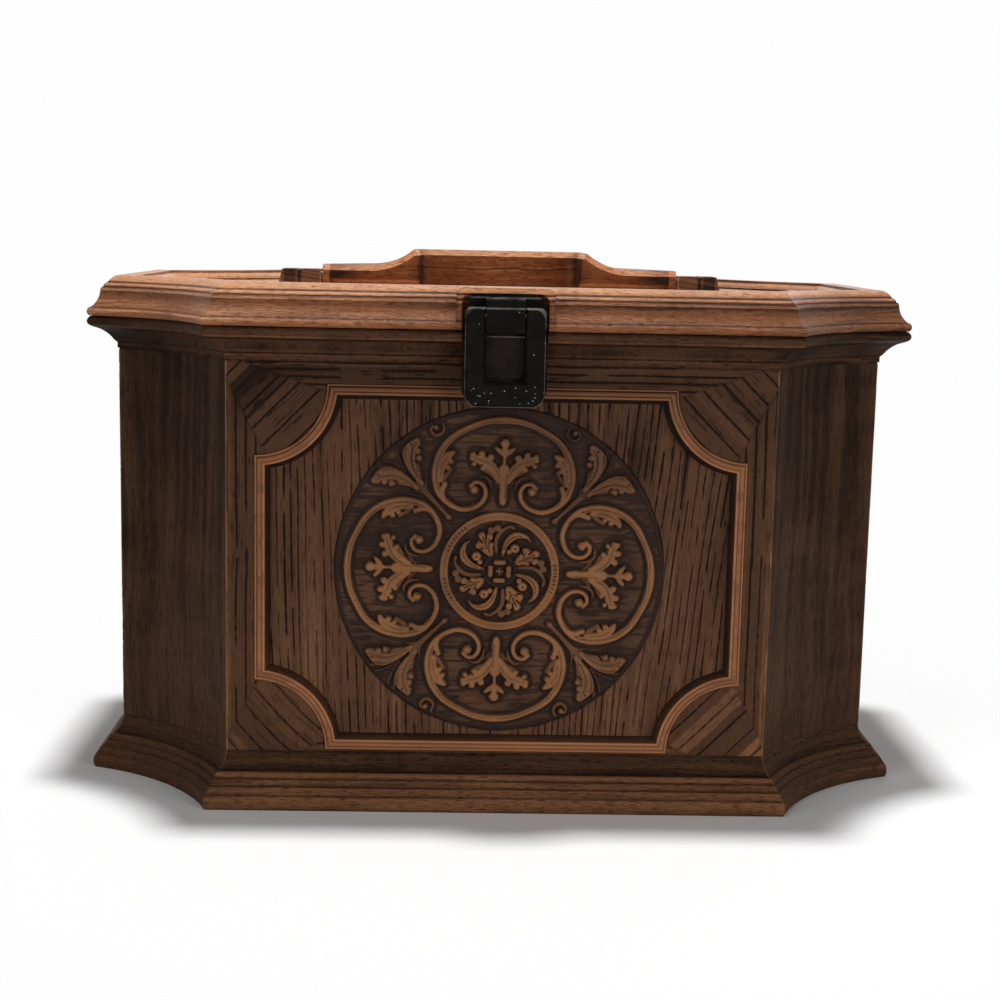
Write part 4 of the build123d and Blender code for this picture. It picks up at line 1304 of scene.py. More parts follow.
    def place(self, mesh: bmesh.types.BMesh, u: np.ndarray, out: np.ndarray, z: np.ndarray) -> None:
        """Moves a mesh's points to their places on the wall and turns its faces outwards.

        Args:
            mesh: The mesh.
            u: Place of each point across the wall.
            out: Its distance from the box's middle.
            z: Its height.
        """
        for vert, spot in zip(mesh.verts, self.wall.placed(u, out, z)):
            vert.co = spot
        outward = Vector(self.wall.placed(np.zeros(1), np.ones(1), np.zeros(1))[0])
        mesh.normal_update()
        if sum(face.normal.dot(outward) * face.calc_area() for face in mesh.faces) < 0:
            bmesh.ops.reverse_faces(mesh, faces=mesh.faces)

    def finish(self, mesh: bmesh.types.BMesh, part: str, material: bpy.types.Material,
               crease: float = math.pi) -> None:
        """Makes a piece, named after the wall, of a mesh that is in its place."""
        put_piece(mesh, f"{self.wall.name.lower()}_{part}", "case", material, crease)

    def field(self, material: bpy.types.Material) -> None:
        """Makes the carved field inside the frame.

        Args:
            material: Its material.
        """
        def from_medallion(u: np.ndarray, z: np.ndarray) -> np.ndarray:
            """Measures how far points lie outside the medallion, negative inside."""
            return np.hypot(u, z - Medallion.height) - self.medallion

        def keep(u: np.ndarray, z: np.ndarray) -> np.ndarray:
            """Keeps what lies inside the frame and outside the medallion, with a lap under each."""
            return (self.panel_distance(u, z) < 1.0 - self.frame_width) & (from_medallion(u, z) > -2.0)

        spacing = (0.22, 0.85 if self.medallion else 1.6)
        mesh = self.sheet(spacing, self.panel_bottom + 5, self.panel_top - 5, self.panel_half - 5, keep)
        u, z, _ = read_points(mesh).T
        depth, tone = self.field_grain(u, z)
        if self.medallion:
            depth = np.maximum(depth, ramp(from_medallion(u, z), 1.4, 0.6))
        # Painted shade: darker towards the top under the cornice and lid, lighter towards the bottom.
        shade_points(mesh, 0.38 - 0.62 * depth + 0.26 * ramp(z, 175.0, 60.0), tone)
        self.place(mesh, u, self.face - self.field_sunk + self.skin + self.groove * (1 - depth), z)
        self.finish(mesh, "field", material)

    def planks(self, material: bpy.types.Material) -> None:
        """Makes the carved planks round the frame.

        Args:
            material: Its material.
        """
        def keep(u: np.ndarray, z: np.ndarray) -> np.ndarray:
            """Keeps what lies outside the frame, with a lap under it."""
            return self.panel_distance(u, z) > -1.0

        mesh = self.sheet((0.38, 0.42), self.bottom, self.top, self.half, keep)
        u, z, _ = read_points(mesh).T
        depth, tone = self.plank_grain(u, z)
        edge = np.minimum(np.minimum(self.half - np.abs(u), self.top - z), z - self.bottom)
        lift = (self.skin + self.groove * (1 - depth) + 0.12 * (tone - 0.5)) * ramp(edge, -0.2, 1.0) + 0.02
        rubbed = 0.6 * ramp(np.abs(u), self.half - 0.8, self.half - 0.4)
        # Painted shade: darker near the top under the cornice, lighter towards the bottom.
        high = 0.16 * ramp(z, 140.0, 186.0)
        shade_points(mesh, 0.52 - 0.58 * depth + 0.16 * ramp(z, 150.0, 40.0) - high + rubbed, tone)
        self.place(mesh, u, self.face + lift, z)
        self.finish(mesh, "planks", material)

    def frame_line(self, inset: float) -> np.ndarray:
        """Follows the panel's notched outline, drawn in by an inset.

        Args:
            inset: How far inside the outline the line runs.

        Returns:
            Its points in order, with their place across the wall and their height.
        """
        radius = self.notch + inset
        lean = math.asin(inset / radius)
        turn = np.linspace(-math.pi / 2 - lean, -math.pi + lean, self.arc_steps + 1)
        along, rise = radius * np.cos(turn), radius * np.sin(turn)
        runs = []
        for right, upper in ((1, 1), (-1, 1), (-1, -1), (1, -1)):
            corner = self.panel_top if upper > 0 else self.panel_bottom
            run = np.column_stack([right * (self.panel_half + along), corner + upper * rise])
            runs.append(run if right * upper > 0 else run[::-1])
        return np.vstack(runs)

    def frame(self, material: bpy.types.Material) -> None:
        """Makes the stepped moulding that frames the field.

        Args:
            material: Its material.
        """
        section = np.array(self.moulding)
        lines = np.array([self.frame_line(inset) for inset in section[:, 0]])
        last, count = len(lines) - 1, len(lines[0])
        mesh = bmesh.new()
        bmesh.ops.create_grid(mesh, x_segments=count, y_segments=last, size=0.5)
        points = read_points(mesh)
        step = np.rint((points[:, 0] + 0.5) * count).astype(int) % count
        row = np.rint((points[:, 1] + 0.5) * last).astype(int)
        u, z = lines[row, step].T
        # Painted shade: darker towards the top under the lid and hasp, lighter towards the bottom.
        shade_points(mesh, section[row, 2] + 0.14 * ramp(z, 175.0, 40.0) - 0.26 * ramp(z, 160.0, 184.0), 0.5)
        self.place(mesh, u, self.face + section[row, 1], z)
        bmesh.ops.remove_doubles(mesh, verts=mesh.verts, dist=0.00001)
        self.finish(mesh, "frame", material, crease=0.45)


class Ornament:
    """Strokes of the medallion, each point as (sideways, outward, half width) in millimetres.

    Loops and palmettes stand on one half of the upper quarter and sprays on one half of a diagonal.
    Rosette strokes are (radius, degrees, half width) for one of its four turns.
    """

    LOOP: Line = (
        (0, 65.4, 1.7), (6.4, 64.7, 1.6), (12.7, 62.7, 1.5), (21.8, 57.6, 1.6), (26.8, 51.3, 1.8),
        (28.9, 44.5, 1.9), (29.0, 38.8, 1.8), (27.1, 32.8, 1.6), (22.5, 28.3, 1.35), (17.0, 26.3, 1.3),
        (11.4, 27.6, 1.2), (8.0, 31.1, 1.1), (7.5, 35.0, 1.05), (9.3, 37.7, 1.0), (12.0, 38.2, 1.0),
        (14.1, 36.6, .95))
    LOOP_LINE: Line = (
        (0, 65.1, .3), (6.3, 64.4, .3), (12.6, 62.4, .3), (21.5, 57.2, .3), (26.4, 51.0, .3),
        (28.4, 44.4, .3), (28.5, 38.9, .3), (26.6, 33.1, .3), (22.3, 28.8, .3))
    LOOP_LEAF: Line = (
        (26.8, 38.6, 1.2), (26.8, 42.8, 1.9), (25.6, 46.6, 2.3), (23.7, 49.4, 1.9), (21.7, 50.7, 1.0))
    LOOP_UNDERLEAF: Line = ((26.6, 38.0, .9), (24.6, 40.4, 1.2), (22.5, 43.6, 1.0))
    LOOP_SPUR: Line = ((25.4, 30.8, 1.0), (26.0, 34.0, 1.4), (24.9, 37.0, 1.3))
    LOOP_VEIN: Line = ((26.9, 40.5, .3), (26.6, 44.6, .35), (24.6, 48.4, .3))
    STEM: Line = ((0, 30.0, 1.6), (0, 32.2, 2.0), (0, 36.0, 1.8), (0, 40.0, 2.3), (0, 44.4, 2.6))
    NECK: Line = ((0, 43.0, 1.0), (0, 48.5, .8), (0, 52.0, 1.5), (0, 54.0, 1.5))
    NECK_WING: Line = ((.4, 50.2, .8), (2.2, 52.0, 1.3), (3.9, 53.4, .8))
    STEM_LEAF: Line = (
        (1.8, 39.4, 1.8), (4.2, 43.4, 2.5), (7.2, 46.4, 2.8), (10.6, 48.2, 2.4), (13.5, 48.7, 1.6))
    STEM_VEIN: Line = ((1.6, 41.0, .35), (5.6, 46.2, .4), (12.6, 48.8, .35))
    STEM_NOTCHES: tuple[Line, ...] = (
        ((3.4, 50.2, .7), (4.6, 47.6, .35)), ((7.7, 52.6, .6), (7.9, 49.6, .3)),
        ((11.6, 52.0, .5), (11.1, 49.9, .3)), ((11.4, 44.0, .7), (9.3, 46.0, .3)),
        ((14.9, 46.4, .6), (12.8, 47.4, .3)))
    STEM_UNDERLEAF: Line = ((1.8, 39.0, 1.1), (4.8, 41.8, 1.4), (9.0, 43.6, .8))
    STEM_THORN: Line = ((2.0, 36.2, .8), (4.4, 38.6, .8), (6.6, 39.8, .5))
    STEM_FLUTE: Line = ((.95, 31.5, .25), (1.1, 37.0, .3), (1.0, 42.5, .3))
    CRESCENT: Line = ((11.2, 40.3, .4), (8.0, 40.6, .75), (5.8, 38.2, .75), (5.1, 34.4, .4))
    LEAF_LOBES: Line = (
        (22.8, 46.8, 1.5), (24.0, 44.2, 1.3), (5.8, 49.2, 1.8), (9.8, 50.5, 1.8), (13.4, 50.0, 1.5),
        (9.0, 44.6, 1.6), (13.0, 46.2, 1.4))
    BALLS: Line = ((12.4, 35.0, 2.1), (0, 55.4, 2.35))
    SPRAY_STEM: Line = ((0, 31.6, 1.2), (0, 36.0, .9), (0, 43.0, 1.3), (0, 51.5, 1.9))
    SPRAY_BEAD: Line = ((0, 32.1, 1.6),)
    SPRAY_LEAF: Line = (
        (1.4, 50.5, 1.1), (2.4, 56.3, 1.9), (4.5, 60.7, 2.5), (7.3, 63.8, 2.7), (10.4, 64.9, 2.2),
        (12.9, 65.7, 1.1))
    SPRAY_EDGE: Line = (
        (.9, 51.0, .35), (1.3, 56.5, .4), (1.9, 60.5, .4), (3.7, 64.4, .45), (6.4, 66.6, .45),
        (10.5, 66.6, .4), (12.8, 66.0, .4))
    SPRAY_VEIN: Line = (
        (1.9, 52.0, .3), (3.0, 57.0, .4), (5.2, 61.3, .45), (8.6, 64.0, .4), (11.4, 64.8, .3))
    SPRAY_LOBES: Line = (
        (10.8, 64.2, 2.3), (12.7, 65.0, 1.3), (9.6, 61.8, 1.6), (8.2, 66.0, 1.1), (8.2, 59.4, 1.5))
    SPRAY_NOTCHES: tuple[Line, ...] = (
        ((12.9, 62.4, .6), (10.6, 62.9, .3)), ((10.6, 59.8, .6), (8.4, 60.8, .3)),
        ((10.0, 67.6, .5), (9.6, 65.4, .3)), ((6.6, 57.0, .5), (6.0, 59.6, .3)))
    SPRAY_SPUR: Line = ((2.6, 53.0, .9), (5.4, 57.0, 1.2), (8.0, 59.5, 1.2))
    SPRAY_FRONDS: tuple[Line, ...] = (
        ((1.0, 58.5, .4), (3.0, 63.0, .5), (5.4, 66.8, .5), (7.6, 68.9, .8)),
        ((.2, 59.0, .35), (1.4, 64.0, .45), (3.2, 67.8, .5), (4.4, 69.3, .6)))
    SPRAY_CURL: Line = ((4.5, 51.0, .45), (2.4, 49.2, .6), (1.0, 46.6, .5))
    RIM_CURL: Line = (
        (27.0, 62.9, .6), (26.2, 60.8, .65), (27.0, 58.6, .7), (29.4, 57.6, .75), (31.6, 59.4, .7),
        (31.0, 61.6, .65), (29.2, 61.4, .6))
    RIM_BALL: Line = ((29.6, 60.9, 1.3),)
    HOOK: Line = (
        (7.4, 82.0, .9), (10.0, 80.5, 1.0), (13.2, 77.5, 1.5), (16.3, 71.0, 1.8), (18.2, 62.0, 1.4),
        (18.9, 53.0, .8), (18.4, 46.5, .5))
    HOOK_VEIN: Line = ((10.0, 81.0, .3), (13.6, 76.5, .35), (16.6, 69.0, .35), (18.2, 60.0, .25))
    HOOK_BALL: Line = ((11.9, 58.5, 2.3),)
    FROND: Line = (
        (7.4, 103.0, .9), (13.8, 98.0, 1.1), (17.5, 89.0, 1.0), (19.7, 80.0, .8), (19.8, 74.5, 1.0))
    PETALS: Line = (
        (17.0, 117.5, 1.9), (15.6, 108.5, 1.6), (14.0, 129.5, 1.9), (11.6, 122.5, 2.1),
        (12.4, 113.0, 1.8), (9.4, 119.0, 1.5), (9.4, 66.0, 1.1))
    PETAL_VEINS: tuple[Line, ...] = (
        ((9.5, 119.0, .3), (16.6, 117.5, .35)), ((11.5, 121.0, .3), (13.6, 128.0, .3)),
        ((11.5, 116.0, .3), (14.8, 110.0, .3)))
    PETAL_BODY: Line = ((8.4, 119.0, 1.5), (11.4, 120.0, 2.7), (14.4, 119.5, 3.1), (17.0, 118.0, 2.0))
    PETAL_NOTCHES: tuple[Line, ...] = (
        ((17.6, 125.5, .55), (14.6, 122.5, .3)), ((18.2, 112.0, .55), (15.2, 114.0, .3)),
        ((13.4, 137.0, .5), (12.4, 128.0, .3)), ((14.4, 103.0, .5), (13.2, 110.0, .3)))
    LOW_PETALS: Line = ((18.8, 95.0, 1.5), (18.2, 103.5, 1.5))


@dataclass(frozen=True)
class Chisel:
    """Lays an ornament's strokes on a relief.

    Attributes:
        carving: The relief.
        turn: Gives the place on the relief of a point of the ornament.
    """

    carving: Carving
    turn: Turn

    def placed(self, line: Line) -> list[tuple[float, float, float]]:
        """Places a run of points."""
        return [(*self.turn(first, second), half) for first, second, half in line]

    def strokes(self, top: float, *lines: Line, flat: float = 0.5) -> None:
        """Lays strokes of one height."""
        for line in lines:
            self.carving.stroke(self.placed(line), top, flat)

    def dabs(self, top: float, line: Line, flat: float = 0.5, wider: float = 0.0) -> None:
        """Lays a round dab on each point."""
        for u, v, half in self.placed(line):
            self.carving.dab(u, v, half + wider, top, flat)

    def cuts(self, depth: float, *lines: Line) -> None:
        """Cuts veins of one depth."""
        for line in lines:
            self.carving.cut(self.placed(line), depth)

    def groove(self, line: Line, radius: float, half: float, depth: float) -> None:
        """Presses a round groove about each point."""
        for u, v, _ in self.placed(line):
            self.carving.groove(u, v, radius, half, depth)


@dataclass
class Medallion:
    """The round plaque on the front: four scroll loops, palmettes, sprays and a swirling rosette.

    Attributes:
        height: Height of its middle.
        lean: Degrees by which it is turned clockwise, seen from the front.
        ground: Distance of its ground from the box's middle.
        back: Distance of its back from the box's middle.
        radius: Its radius.
        ring_outer: Outer radius of the ring round the rosette.
        ring_inner: Inner radius of that ring.
        seam: Radius of the cut between its two pieces, under the ring.
        crest: Height of the relief that counts as fully worn.
        high: Height of the main strokes.
        low: Height of the strokes behind them.
    """

    height: ClassVar[float] = 103.6
    lean: float = 1.4
    ground: float = 103.3
    back: float = 102.5
    radius: float = 70.7
    ring_outer: float = 26.0
    ring_inner: float = 21.9
    seam: float = 23.6
    crest: float = 2.6
    high: float = 2.35
    low: float = 1.4

    def disc(self, inner: float, outer: float, rings: int, steps: int) -> bmesh.types.BMesh:
        """Spins a flat disc or band of even rings.

        Args:
            inner: Inner radius.
            outer: Outer radius.
            rings: Count of rings.
            steps: Count of steps round.

        Returns:
            The band in the plane of X and Z, in millimetres.
        """
        mesh = bmesh.new()
        places = np.linspace(inner, outer, rings + 1)
        row = [mesh.verts.new((float(place), 0.0, 0.0)) for place in places]
        for a, b in zip(row, row[1:]):
            mesh.edges.new((a, b))
        bmesh.ops.spin(mesh, geom=mesh.verts[:] + mesh.edges[:], cent=(0, 0, 0), axis=(0, 1, 0),
                       dvec=(0, 0, 0), angle=2 * math.pi, steps=steps, use_merge=True, use_duplicate=False)
        bmesh.ops.remove_doubles(mesh, verts=mesh.verts, dist=0.002)
        return mesh

    def quarter(self, chisel: Chisel) -> None:
        """Lays one half of a loop, with its volute, its hanging leaf and half of its palmette.

        Args:
            chisel: What it is laid with.
        """
        o = Ornament
        chisel.strokes(self.low, o.CRESCENT)
        chisel.strokes(1.0, o.STEM_THORN)
        chisel.strokes(1.5, o.STEM_UNDERLEAF, o.LOOP_UNDERLEAF)
        chisel.strokes(self.high, o.LOOP)
        chisel.cuts(0.8, o.LOOP_LINE)
        chisel.strokes(self.high, o.LOOP_SPUR, o.LOOP_LEAF, o.STEM, o.NECK, o.NECK_WING, o.STEM_LEAF)
        chisel.dabs(self.high, o.LEAF_LOBES)
        chisel.cuts(0.65, o.LOOP_VEIN, o.STEM_VEIN, o.STEM_FLUTE)
        chisel.cuts(1.8, *o.STEM_NOTCHES)
        chisel.dabs(self.high + 0.25, o.BALLS, 0.45)
        chisel.groove(o.BALLS[:1], 1.25, 0.28, 0.7)

    def spray(self, chisel: Chisel) -> None:
        """Lays one half of a diagonal spray: stem, broad curling leaf, fronds and small side leaves.

        Args:
            chisel: What it is laid with.
        """
        o = Ornament
        chisel.strokes(self.low, o.SPRAY_STEM, *o.SPRAY_FRONDS, o.SPRAY_CURL)
        chisel.strokes(1.6, o.SPRAY_SPUR)
        chisel.strokes(2.1, o.SPRAY_LEAF)
        chisel.dabs(2.2, o.SPRAY_LOBES)
        chisel.cuts(0.8, o.SPRAY_VEIN)
        chisel.cuts(1.6, *o.SPRAY_NOTCHES)
        chisel.strokes(2.9, o.SPRAY_EDGE)
        chisel.dabs(1.7, o.SPRAY_BEAD, 0.1)

    def rosette(self, chisel: Chisel) -> None:
        """Lays a quarter of the rosette: a lobed leaf, a hook over a ball and a low frond.

        Args:
            chisel: What it is laid with.
        """
        o = Ornament
        chisel.strokes(self.low, o.FROND)
        chisel.dabs(self.low + 0.3, o.LOW_PETALS, wider=0.3)
        chisel.strokes(self.high - 0.2, o.PETAL_BODY, flat=0.65)
        chisel.dabs(self.high, o.PETALS, wider=0.3)
        chisel.cuts(0.8, *o.PETAL_VEINS)
        chisel.cuts(1.8, *o.PETAL_NOTCHES)
        chisel.strokes(self.high, o.HOOK)
        chisel.cuts(0.6, o.HOOK_VEIN)
        chisel.dabs(self.high + 0.3, o.HOOK_BALL, 0.45)
        chisel.groove(o.HOOK_BALL, 0.0, 0.7, 0.9)

    def edge(self, carving: Carving) -> None:
        """Raises the thin bead round the rim and the small curls beside the upper and lower loops.

        Args:
            carving: The relief.
        """
        rim = 0.45 * bead(np.hypot(carving.u, carving.v), 69.7, 0.9)
        carving.height = np.maximum(carving.height, rim)
        for across in (-1, 1):
            for upper in (-1, 1):
                chisel = Chisel(carving, lambda side, out: (across * side, upper * out))
                chisel.strokes(2.0, Ornament.RIM_CURL)
                chisel.dabs(2.2, Ornament.RIM_BALL, 0.3)

    def rings(self, carving: Carving) -> None:
        """Raises the flat ring with its short ticks, the dark roll and the four-petalled boss.

        Args:
            carving: The relief.
        """
        r = np.hypot(carving.u, carving.v)
        around = np.degrees(np.arctan2(carving.v, carving.u)) % 360
        middle = (self.ring_outer + self.ring_inner) / 2
        half = (self.ring_outer - self.ring_inner) / 2
        away = np.abs(r - middle)
        flat = 2.15 * ramp(away, half + 0.1, half - 0.5)
        flat = flat + 0.28 * ramp(np.abs(away - half + 0.75), 0.45, 0.1)
        ticks = np.zeros(len(r))
        for start, end in ((128.0, 160.0), (188.0, 214.0), (338.0, 372.0)):
            inside = ((around - start) % 360) < (end - start)
            comb = np.abs(((around - start) % 4.2) - 2.1) * math.pi / 180 * middle
            ticks = np.maximum(ticks, inside * ramp(comb, 0.36, 0.1) * (away < 0.85))
        flat = np.where(away < half, flat - 0.55 * ticks, flat)
        roll = 0.9 * bead(r, 6.7, 1.3)
        carving.height = np.maximum(carving.height, np.maximum(flat, roll))
        carving.height = np.where(r < 5.4, 0.3, carving.height)
        petal = tuple((offset, 3.9, 1.25) for offset in (1.6, 0.8, 0.0, -0.8, -1.6))
        for quarter in range(4):
            Chisel(carving, quarter_turn(90.0 * quarter - 90.0, 1)).dabs(2.3, petal)
        carving.dab(0, 0, 2.0, 1.7, 0.6)
        for mirror in (-1, 1):
            carving.cut(((-2.6, -2.6 * mirror, 0.4), (2.6, 2.6 * mirror, 0.4)), 1.2)
        carving.dab(0, 0, 0.9, 2.3, 0.4)

    def carve(self, u: np.ndarray, v: np.ndarray, spread: float = 0.0) -> np.ndarray:
        """Works out the height of the relief at every point.

        Args:
            u: Sideways place of every point.
            v: Upward place of every point.
            spread: Widens every stroke by this much.

        Returns:
            The heights, in millimetres.
        """
        carving = Carving(u, v, spread)
        for quarter in range(4):
            for mirror in (-1, 1):
                self.spray(Chisel(carving, quarter_turn(90.0 * quarter + 45.0, mirror)))
        for quarter in range(4):
            for mirror in (-1, 1):
                self.quarter(Chisel(carving, quarter_turn(90.0 * quarter, mirror)))
            self.rosette(Chisel(carving, rosette_turn(90.0 * quarter)))
        self.edge(carving)
        self.rings(carving)
        return carving.height

    def plate(self, name: str, mesh: bmesh.types.BMesh, material: bpy.types.Material) -> bpy.types.Object:
        """Carves a flat band, closes it behind and sets it on the case.

        Args:
            name: Name of the piece.
            mesh: The flat band.
            material: Its material.

        Returns:
            The piece.
        """
        mesh.normal_update()
        u, _, v = read_points(mesh).T
        lean = math.radians(self.lean)
        across, up = u * math.cos(lean) - v * math.sin(lean), u * math.sin(lean) + v * math.cos(lean)
        relief = self.carve(across, up)
        open_ground = 1 - ramp(self.carve(across, up, 1.7), 0.2, 1.9)
        noise = Lattice(5)
        bare = 1 - ramp(relief, 0.1, 0.5)
        scratch = ramp(noise.summed(u * 0.10, v * 1.1), 0.50, 0.66)
        ground = 0.20 * (noise.summed(u * 0.16, v * 1.5) - 0.5) * bare
        rub = 0.09 * (noise.summed(u * 0.6 + 30, v * 0.6) - 0.5) * ramp(relief, 0.5, 1.2)
        out = self.ground + relief + ground + rub + 0.2
        for vert, place in zip(mesh.verts, Wall.FRONT.placed(u, out, v + self.height)):
            vert.co = place
        away = np.hypot(u, v)
        worn = np.clip(relief / self.crest, 0, 1) ** 1.35 + ground * 0.6
        worn += bare * open_ground * (0.24 - 0.22 * scratch)
        worn -= 0.25 * ramp(np.abs(away - 69.6), 1.0, 0.4) + 0.40 * ramp(np.abs(away - 6.9), 1.6, 0.9)
        # Painted shade: the upper part of the relief darker, as under the hasp, and the lowest part slightly
        # lighter.
        worn += (0.05 - 0.30 * ramp(v, 0.0, 62.0)) * ramp(relief, 0.3, 1.2)
        shade_points(mesh, worn, 0.5 + 0.8 * (noise.summed(u * 0.08 + 9, v * 0.08) - 0.5))
        rims = [edge for edge in mesh.edges if edge.is_boundary]
        made = bmesh.ops.extrude_edge_only(mesh, edges=rims)["geom"]
        for vert in [item for item in made if isinstance(item, bmesh.types.BMVert)]:
            vert.co.y = -self.back * MM
        rims = [edge for edge in mesh.edges if edge.is_boundary]
        if min(away) > 1.0:
            bmesh.ops.bridge_loops(mesh, edges=rims)
        else:
            bmesh.ops.holes_fill(mesh, edges=rims, sides=0)
        bmesh.ops.recalc_face_normals(mesh, faces=mesh.faces)
        return put_piece(mesh, name, "case", material)

    def build(self, material: bpy.types.Material) -> None:
        """Makes the medallion's two pieces in place of the flat-topped plaque.

        Args:
            material: Its material.
        """
        for name, band in (("medallion_scrolls", (self.seam, self.radius, 104, 900)),
                           ("medallion_rosette", (0.0, self.seam, 84, 440))):
            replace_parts(self.plate(name, self.disc(*band), material), "front_medallion")


def quarter_turn(degrees: float, mirror: int) -> Turn:
    """Turns a place on the upper quarter to another quarter.

    Args:
        degrees: How far to turn.
        mirror: -1 to flip it sideways first, else 1.

    Returns:
        A function from (sideways, outward) to (across, up).
    """
    c, s = math.cos(math.radians(degrees)), math.sin(math.radians(degrees))
    return lambda side, out: (mirror * side * c - out * s, mirror * side * s + out * c)


def rosette_turn(degrees: float) -> Turn:
    """Turns a place on the rosette's first quarter to another quarter.

    Args:
        degrees: How far to turn.

    Returns:
        A function from (radius, degrees) to (across, up).
    """
    def turn(radius: float, angle: float) -> tuple[float, float]:
        """Places one point."""
        a = math.radians(angle + degrees)
        return radius * math.cos(a), radius * math.sin(a)

    return turn


# The box


BLACK = srgb(11, 10, 9)
FINISHES = (
    CaseFinish("case grain", Stain.WALL, pores=0.4, mitres=0.7),
    ReliefFinish("field grain", Stain.FIELD, 0, 2),
    ReliefFinish("side field grain", Stain.FIELD, 1, 2),
    ReliefFinish("plank grain", Stain.WALL, 0, 2, pores=0.3),
    ReliefFinish("side plank grain", Stain.WALL, 1, 2, pores=0.3),
    ReliefFinish("frame grain", Stain.FRAME, 1, 2, pores=0.3, specular=0.12, rough=0.42),
    ReliefFinish("medallion relief", Stain.MEDALLION, 2, 0, rough=0.40, specular=0.09, pores=0.12),
    LidFinish("lid grain", Stain.LID, pores=0.28, specular=0.13, rough=0.36, coarse=0.45),
    HandleFinish("handle grain", Stain.HANDLE, pores=0.35, specular=0.14, rough=0.40, edges=0.62,
                 coarse=0.55),
    BracketFinish("bracket grain", Stain.BRACKET, pores=0.5, coarse=0.6, edges=0.3, specular=0.08),
    # The grey lines and outline on the black plastic parts are painted highlights along edges.
    PebbleFinish("latch black", BLACK, srgb(19, 17, 15), lines=((220.9, 0.5), (216.7, 0.5))),
    PebbleFinish("hasp black", BLACK, srgb(20, 18, 16), 0.8, lines=((216.7, 0.5),),
                 outline=(196.5, 16.6, 20.5, 5.6), sparkle=186.5),
    PebbleFinish("keeper black", srgb(24, 18, 16), srgb(33, 26, 23), 0.1, lines=((205.0, 0.3),)),
    PlainFinish("hinge brass", (0.42, 0.29, 0.12), (0.20, 0.13, 0.06), 0.38),
    PlainFinish("pin steel", (0.52, 0.52, 0.53), (0.36, 0.35, 0.34), 0.32),
    # Steel darkened to near black as painted shade, so that the latch pin reads as the dark gap it sits in.
    PlainFinish("pin steel darkened as painted shade", (0.03, 0.03, 0.03), (0.02, 0.02, 0.02), 0.45),
    PlainFinish("screw steel", (0.50, 0.48, 0.44), (0.32, 0.30, 0.27), 0.36, brushed=0.1),
    PlainFinish("tray tan", srgb(190, 160, 122), srgb(172, 140, 104), 0.42, 0.0, 0.35, 0.1),
)

# Finish of every node that keeps its own shape
NODES = {
    "case grain": ("body_shell", "tray_ledge_front", "tray_ledge_back"),
    "lid grain": ("lid_shell",),
    "handle grain": ("handle_bail",),
    "bracket grain": ("handle_bracket_left", "handle_bracket_right"),
    "latch black": ("latch_mount",),
    "hasp black": ("latch_hasp",),
    "keeper black": ("latch_keeper",),
    "pin steel darkened as painted shade": ("latch_pin",),
    "pin steel": ("handle_pin_left", "handle_pin_right", "hinge_pin_left", "hinge_pin_right"),
    "screw steel": ("latch_screws", "keeper_screws", "handle_screws", "hinge_body_screws",
                    "hinge_lid_screws"),
    "hinge brass": ("hinge_body_leaf_left", "hinge_body_leaf_right", "hinge_lid_leaf_left",
                    "hinge_lid_leaf_right"),
    "tray tan": ("tray", "spool_pegs", "tray_divider_long", "tray_divider_left", "tray_divider_right",
                 "tray_divider_back"),
}

LONG_WALL = dict(half=116.9, face=106.3, panel_half=104.5, panel_bottom=24.6, panel_top=183.0, notch=30.6)
END_WALL = dict(half=51.9, face=171.3, panel_half=40.0, panel_bottom=37.0, panel_top=178.0, notch=15.0)
WALLS = (
    PanelWall(Wall.FRONT, seed=11, medallion=70.0, **LONG_WALL),
    PanelWall(Wall.BACK, seed=12, **LONG_WALL),
    PanelWall(Wall.RIGHT, seed=13, **END_WALL),
    PanelWall(Wall.LEFT, seed=14, **END_WALL),
)


def dress(node: bpy.types.Object, material: bpy.types.Material) -> None:
    """Gives a carried-over node its material.

    Args:
        node: The node.
        material: Its material.
    """
    node.data.materials.clear()
    node.data.materials.append(material)
    LOG.info("%s wears %s", node.name, material.name)


@dataclass(frozen=True)
class Lamp:
    """One square soft lamp that faces the box.

    Attributes:
        name: Its name.
        place: Where it hangs, in metres.
        size: Its side, in metres.
        power: Its power, in watts.
    """

    name: str
    place: tuple[float, float, float]
    size: float
    power: float

    def hang(self) -> None:
        """Adds it to the scene."""
        data = bpy.data.lights.new(self.name, "AREA")
        data.shape = "SQUARE"
        data.size = self.size
        data.energy = self.power
        lamp = add_object(self.name, data)
        aim = (Vector((0.0, 0.0, 0.1)) - Vector(self.place)).to_track_quat("-Z", "Y")
        lamp.matrix_world = Matrix.Translation(self.place) @ aim.to_matrix().to_4x4()


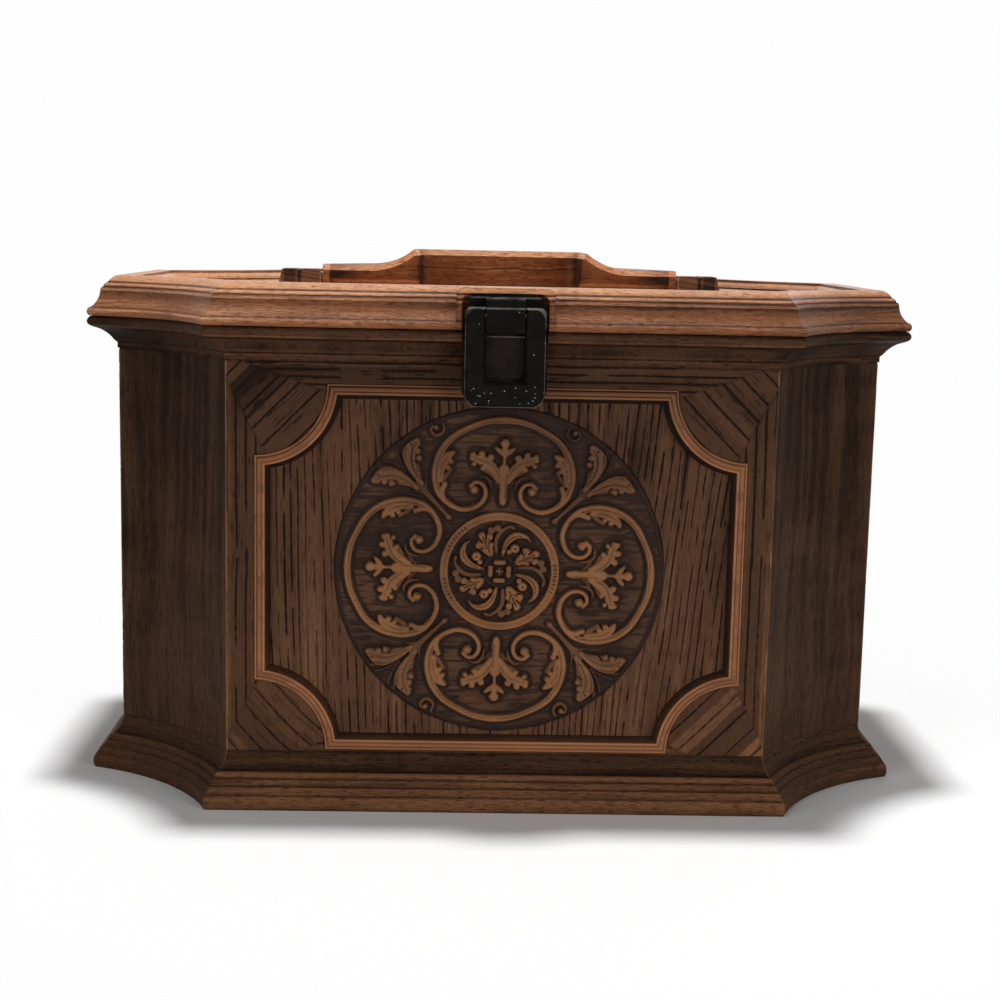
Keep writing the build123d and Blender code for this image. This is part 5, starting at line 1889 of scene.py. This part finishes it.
@dataclass
class Studio:
    """Pale floor, soft lights and the camera at the photograph's angle.

    Attributes:
        lamps: The lamps.
        camera_place: Where the camera stands, in metres.
        lens: Its focal length, in millimetres.
        turn: Degrees by which it is turned about Z.
        tilt: Degrees by which it is lifted from looking straight down.
        roll: Degrees by which it is turned about its own line of sight.
    """

    lamps: tuple[Lamp, ...] = (
        Lamp("key", (1.3, -1.6, 0.30), 0.8, 19.0),
        Lamp("fill", (-1.4, -1.6, 0.30), 0.9, 13.0),
        Lamp("glint", (-0.5, -0.6, 1.4), 0.15, 1.4),
        Lamp("top", (-0.03, 0.10, 1.9), 0.18, 30.0),
        Lamp("back", (0.6, 1.8, 1.2), 1.4, 5.0),
    )
    camera_place: tuple[float, float, float] = (-0.02034, -0.83694, 0.24837)
    lens: float = 62.513
    turn: float = -1.562
    tilt: float = 90.0 - 8.829
    roll: float = 1.219

    def build(self) -> None:
        """Sets up the floor, the world, the lamps and the camera."""
        self.floor()
        self.world()
        for lamp in self.lamps:
            lamp.hang()
        self.camera()
        bpy.context.scene.view_settings.view_transform = "Standard"

    def floor(self) -> None:
        """Lays a large pale floor that fades to plain white far off."""
        mesh = bmesh.new()
        bmesh.ops.create_circle(mesh, cap_ends=True, segments=96, radius=9.0)
        data = bpy.data.meshes.new("floor")
        mesh.to_mesh(data)
        mesh.free()
        material, g, shader, place = new_material("pale floor")
        g.feed(shader.inputs["Base Color"], (0.93, 0.93, 0.93))
        g.feed(shader.inputs["Roughness"], 0.75)
        g.feed(shader.inputs["Specular IOR Level"], 0.1)
        away = g.number("ShaderNodeVectorMath", "Value", {0: place}, operation="LENGTH")
        seen = g.number("ShaderNodeLightPath", "Is Camera Ray")
        white = g.node("ShaderNodeEmission", {"Color": (1.0, 1.0, 1.0), "Strength": 0.99})
        blend = g.node("ShaderNodeMixShader", {0: seen * g.span(away, 0.21, 0.38), 1: shader.outputs[0],
                                               2: white.outputs[0]})
        g.feed(material.node_tree.nodes["Material Output"].inputs["Surface"], blend.outputs[0])
        data.materials.append(material)
        add_object("floor", data)

    def world(self) -> None:
        """Fills the room with soft light, white where it is seen or mirrored."""
        world = bpy.data.worlds.new("studio")
        bpy.context.scene.world = world
        world.use_nodes = True
        g = Graph(world.node_tree)
        path = g.node("ShaderNodeLightPath").outputs
        shown = g.math("MAXIMUM", path["Is Camera Ray"], path["Is Glossy Ray"])
        shown = g.math("MAXIMUM", shown, path["Is Transmission Ray"])
        background = world.node_tree.nodes["Background"]
        g.feed(background.inputs["Color"], (1.0, 1.0, 1.0))
        g.feed(background.inputs["Strength"], g.choose(shown, 0.11, 0.99))

    def camera(self) -> None:
        """Puts the camera where the photograph was taken from."""
        data = bpy.data.cameras.new("camera")
        data.lens = self.lens
        data.sensor_width = 36.0
        data.clip_start = 0.01
        camera = add_object("camera", data)
        turned = Matrix()
        for degrees, axis in ((self.turn, "Z"), (self.tilt, "X"), (self.roll, "Z")):
            turned = turned @ Matrix.Rotation(math.radians(degrees), 4, axis)
        camera.matrix_world = Matrix.Translation(self.camera_place) @ turned
        bpy.context.scene.camera = camera


def main() -> None:
    """Dresses the box, piece by piece."""
    logging.basicConfig(level=logging.INFO, format="%(message)s")
    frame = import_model()
    effects = Effects()
    made = {finish.name: finish.material(effects) for finish in FINISHES}
    for finish, names in NODES.items():
        for name in names:
            dress(frame["nodes"][name], made[finish])
    for wall in WALLS:
        side = "side " if wall.wall in (Wall.LEFT, Wall.RIGHT) else ""
        wall.field(made[f"{side}field grain"])
        wall.planks(made[f"{side}plank grain"])
        wall.frame(made["frame grain"])
    Medallion().build(made["medallion relief"])
    Studio().build()


if __name__ == "__main__":
    main()
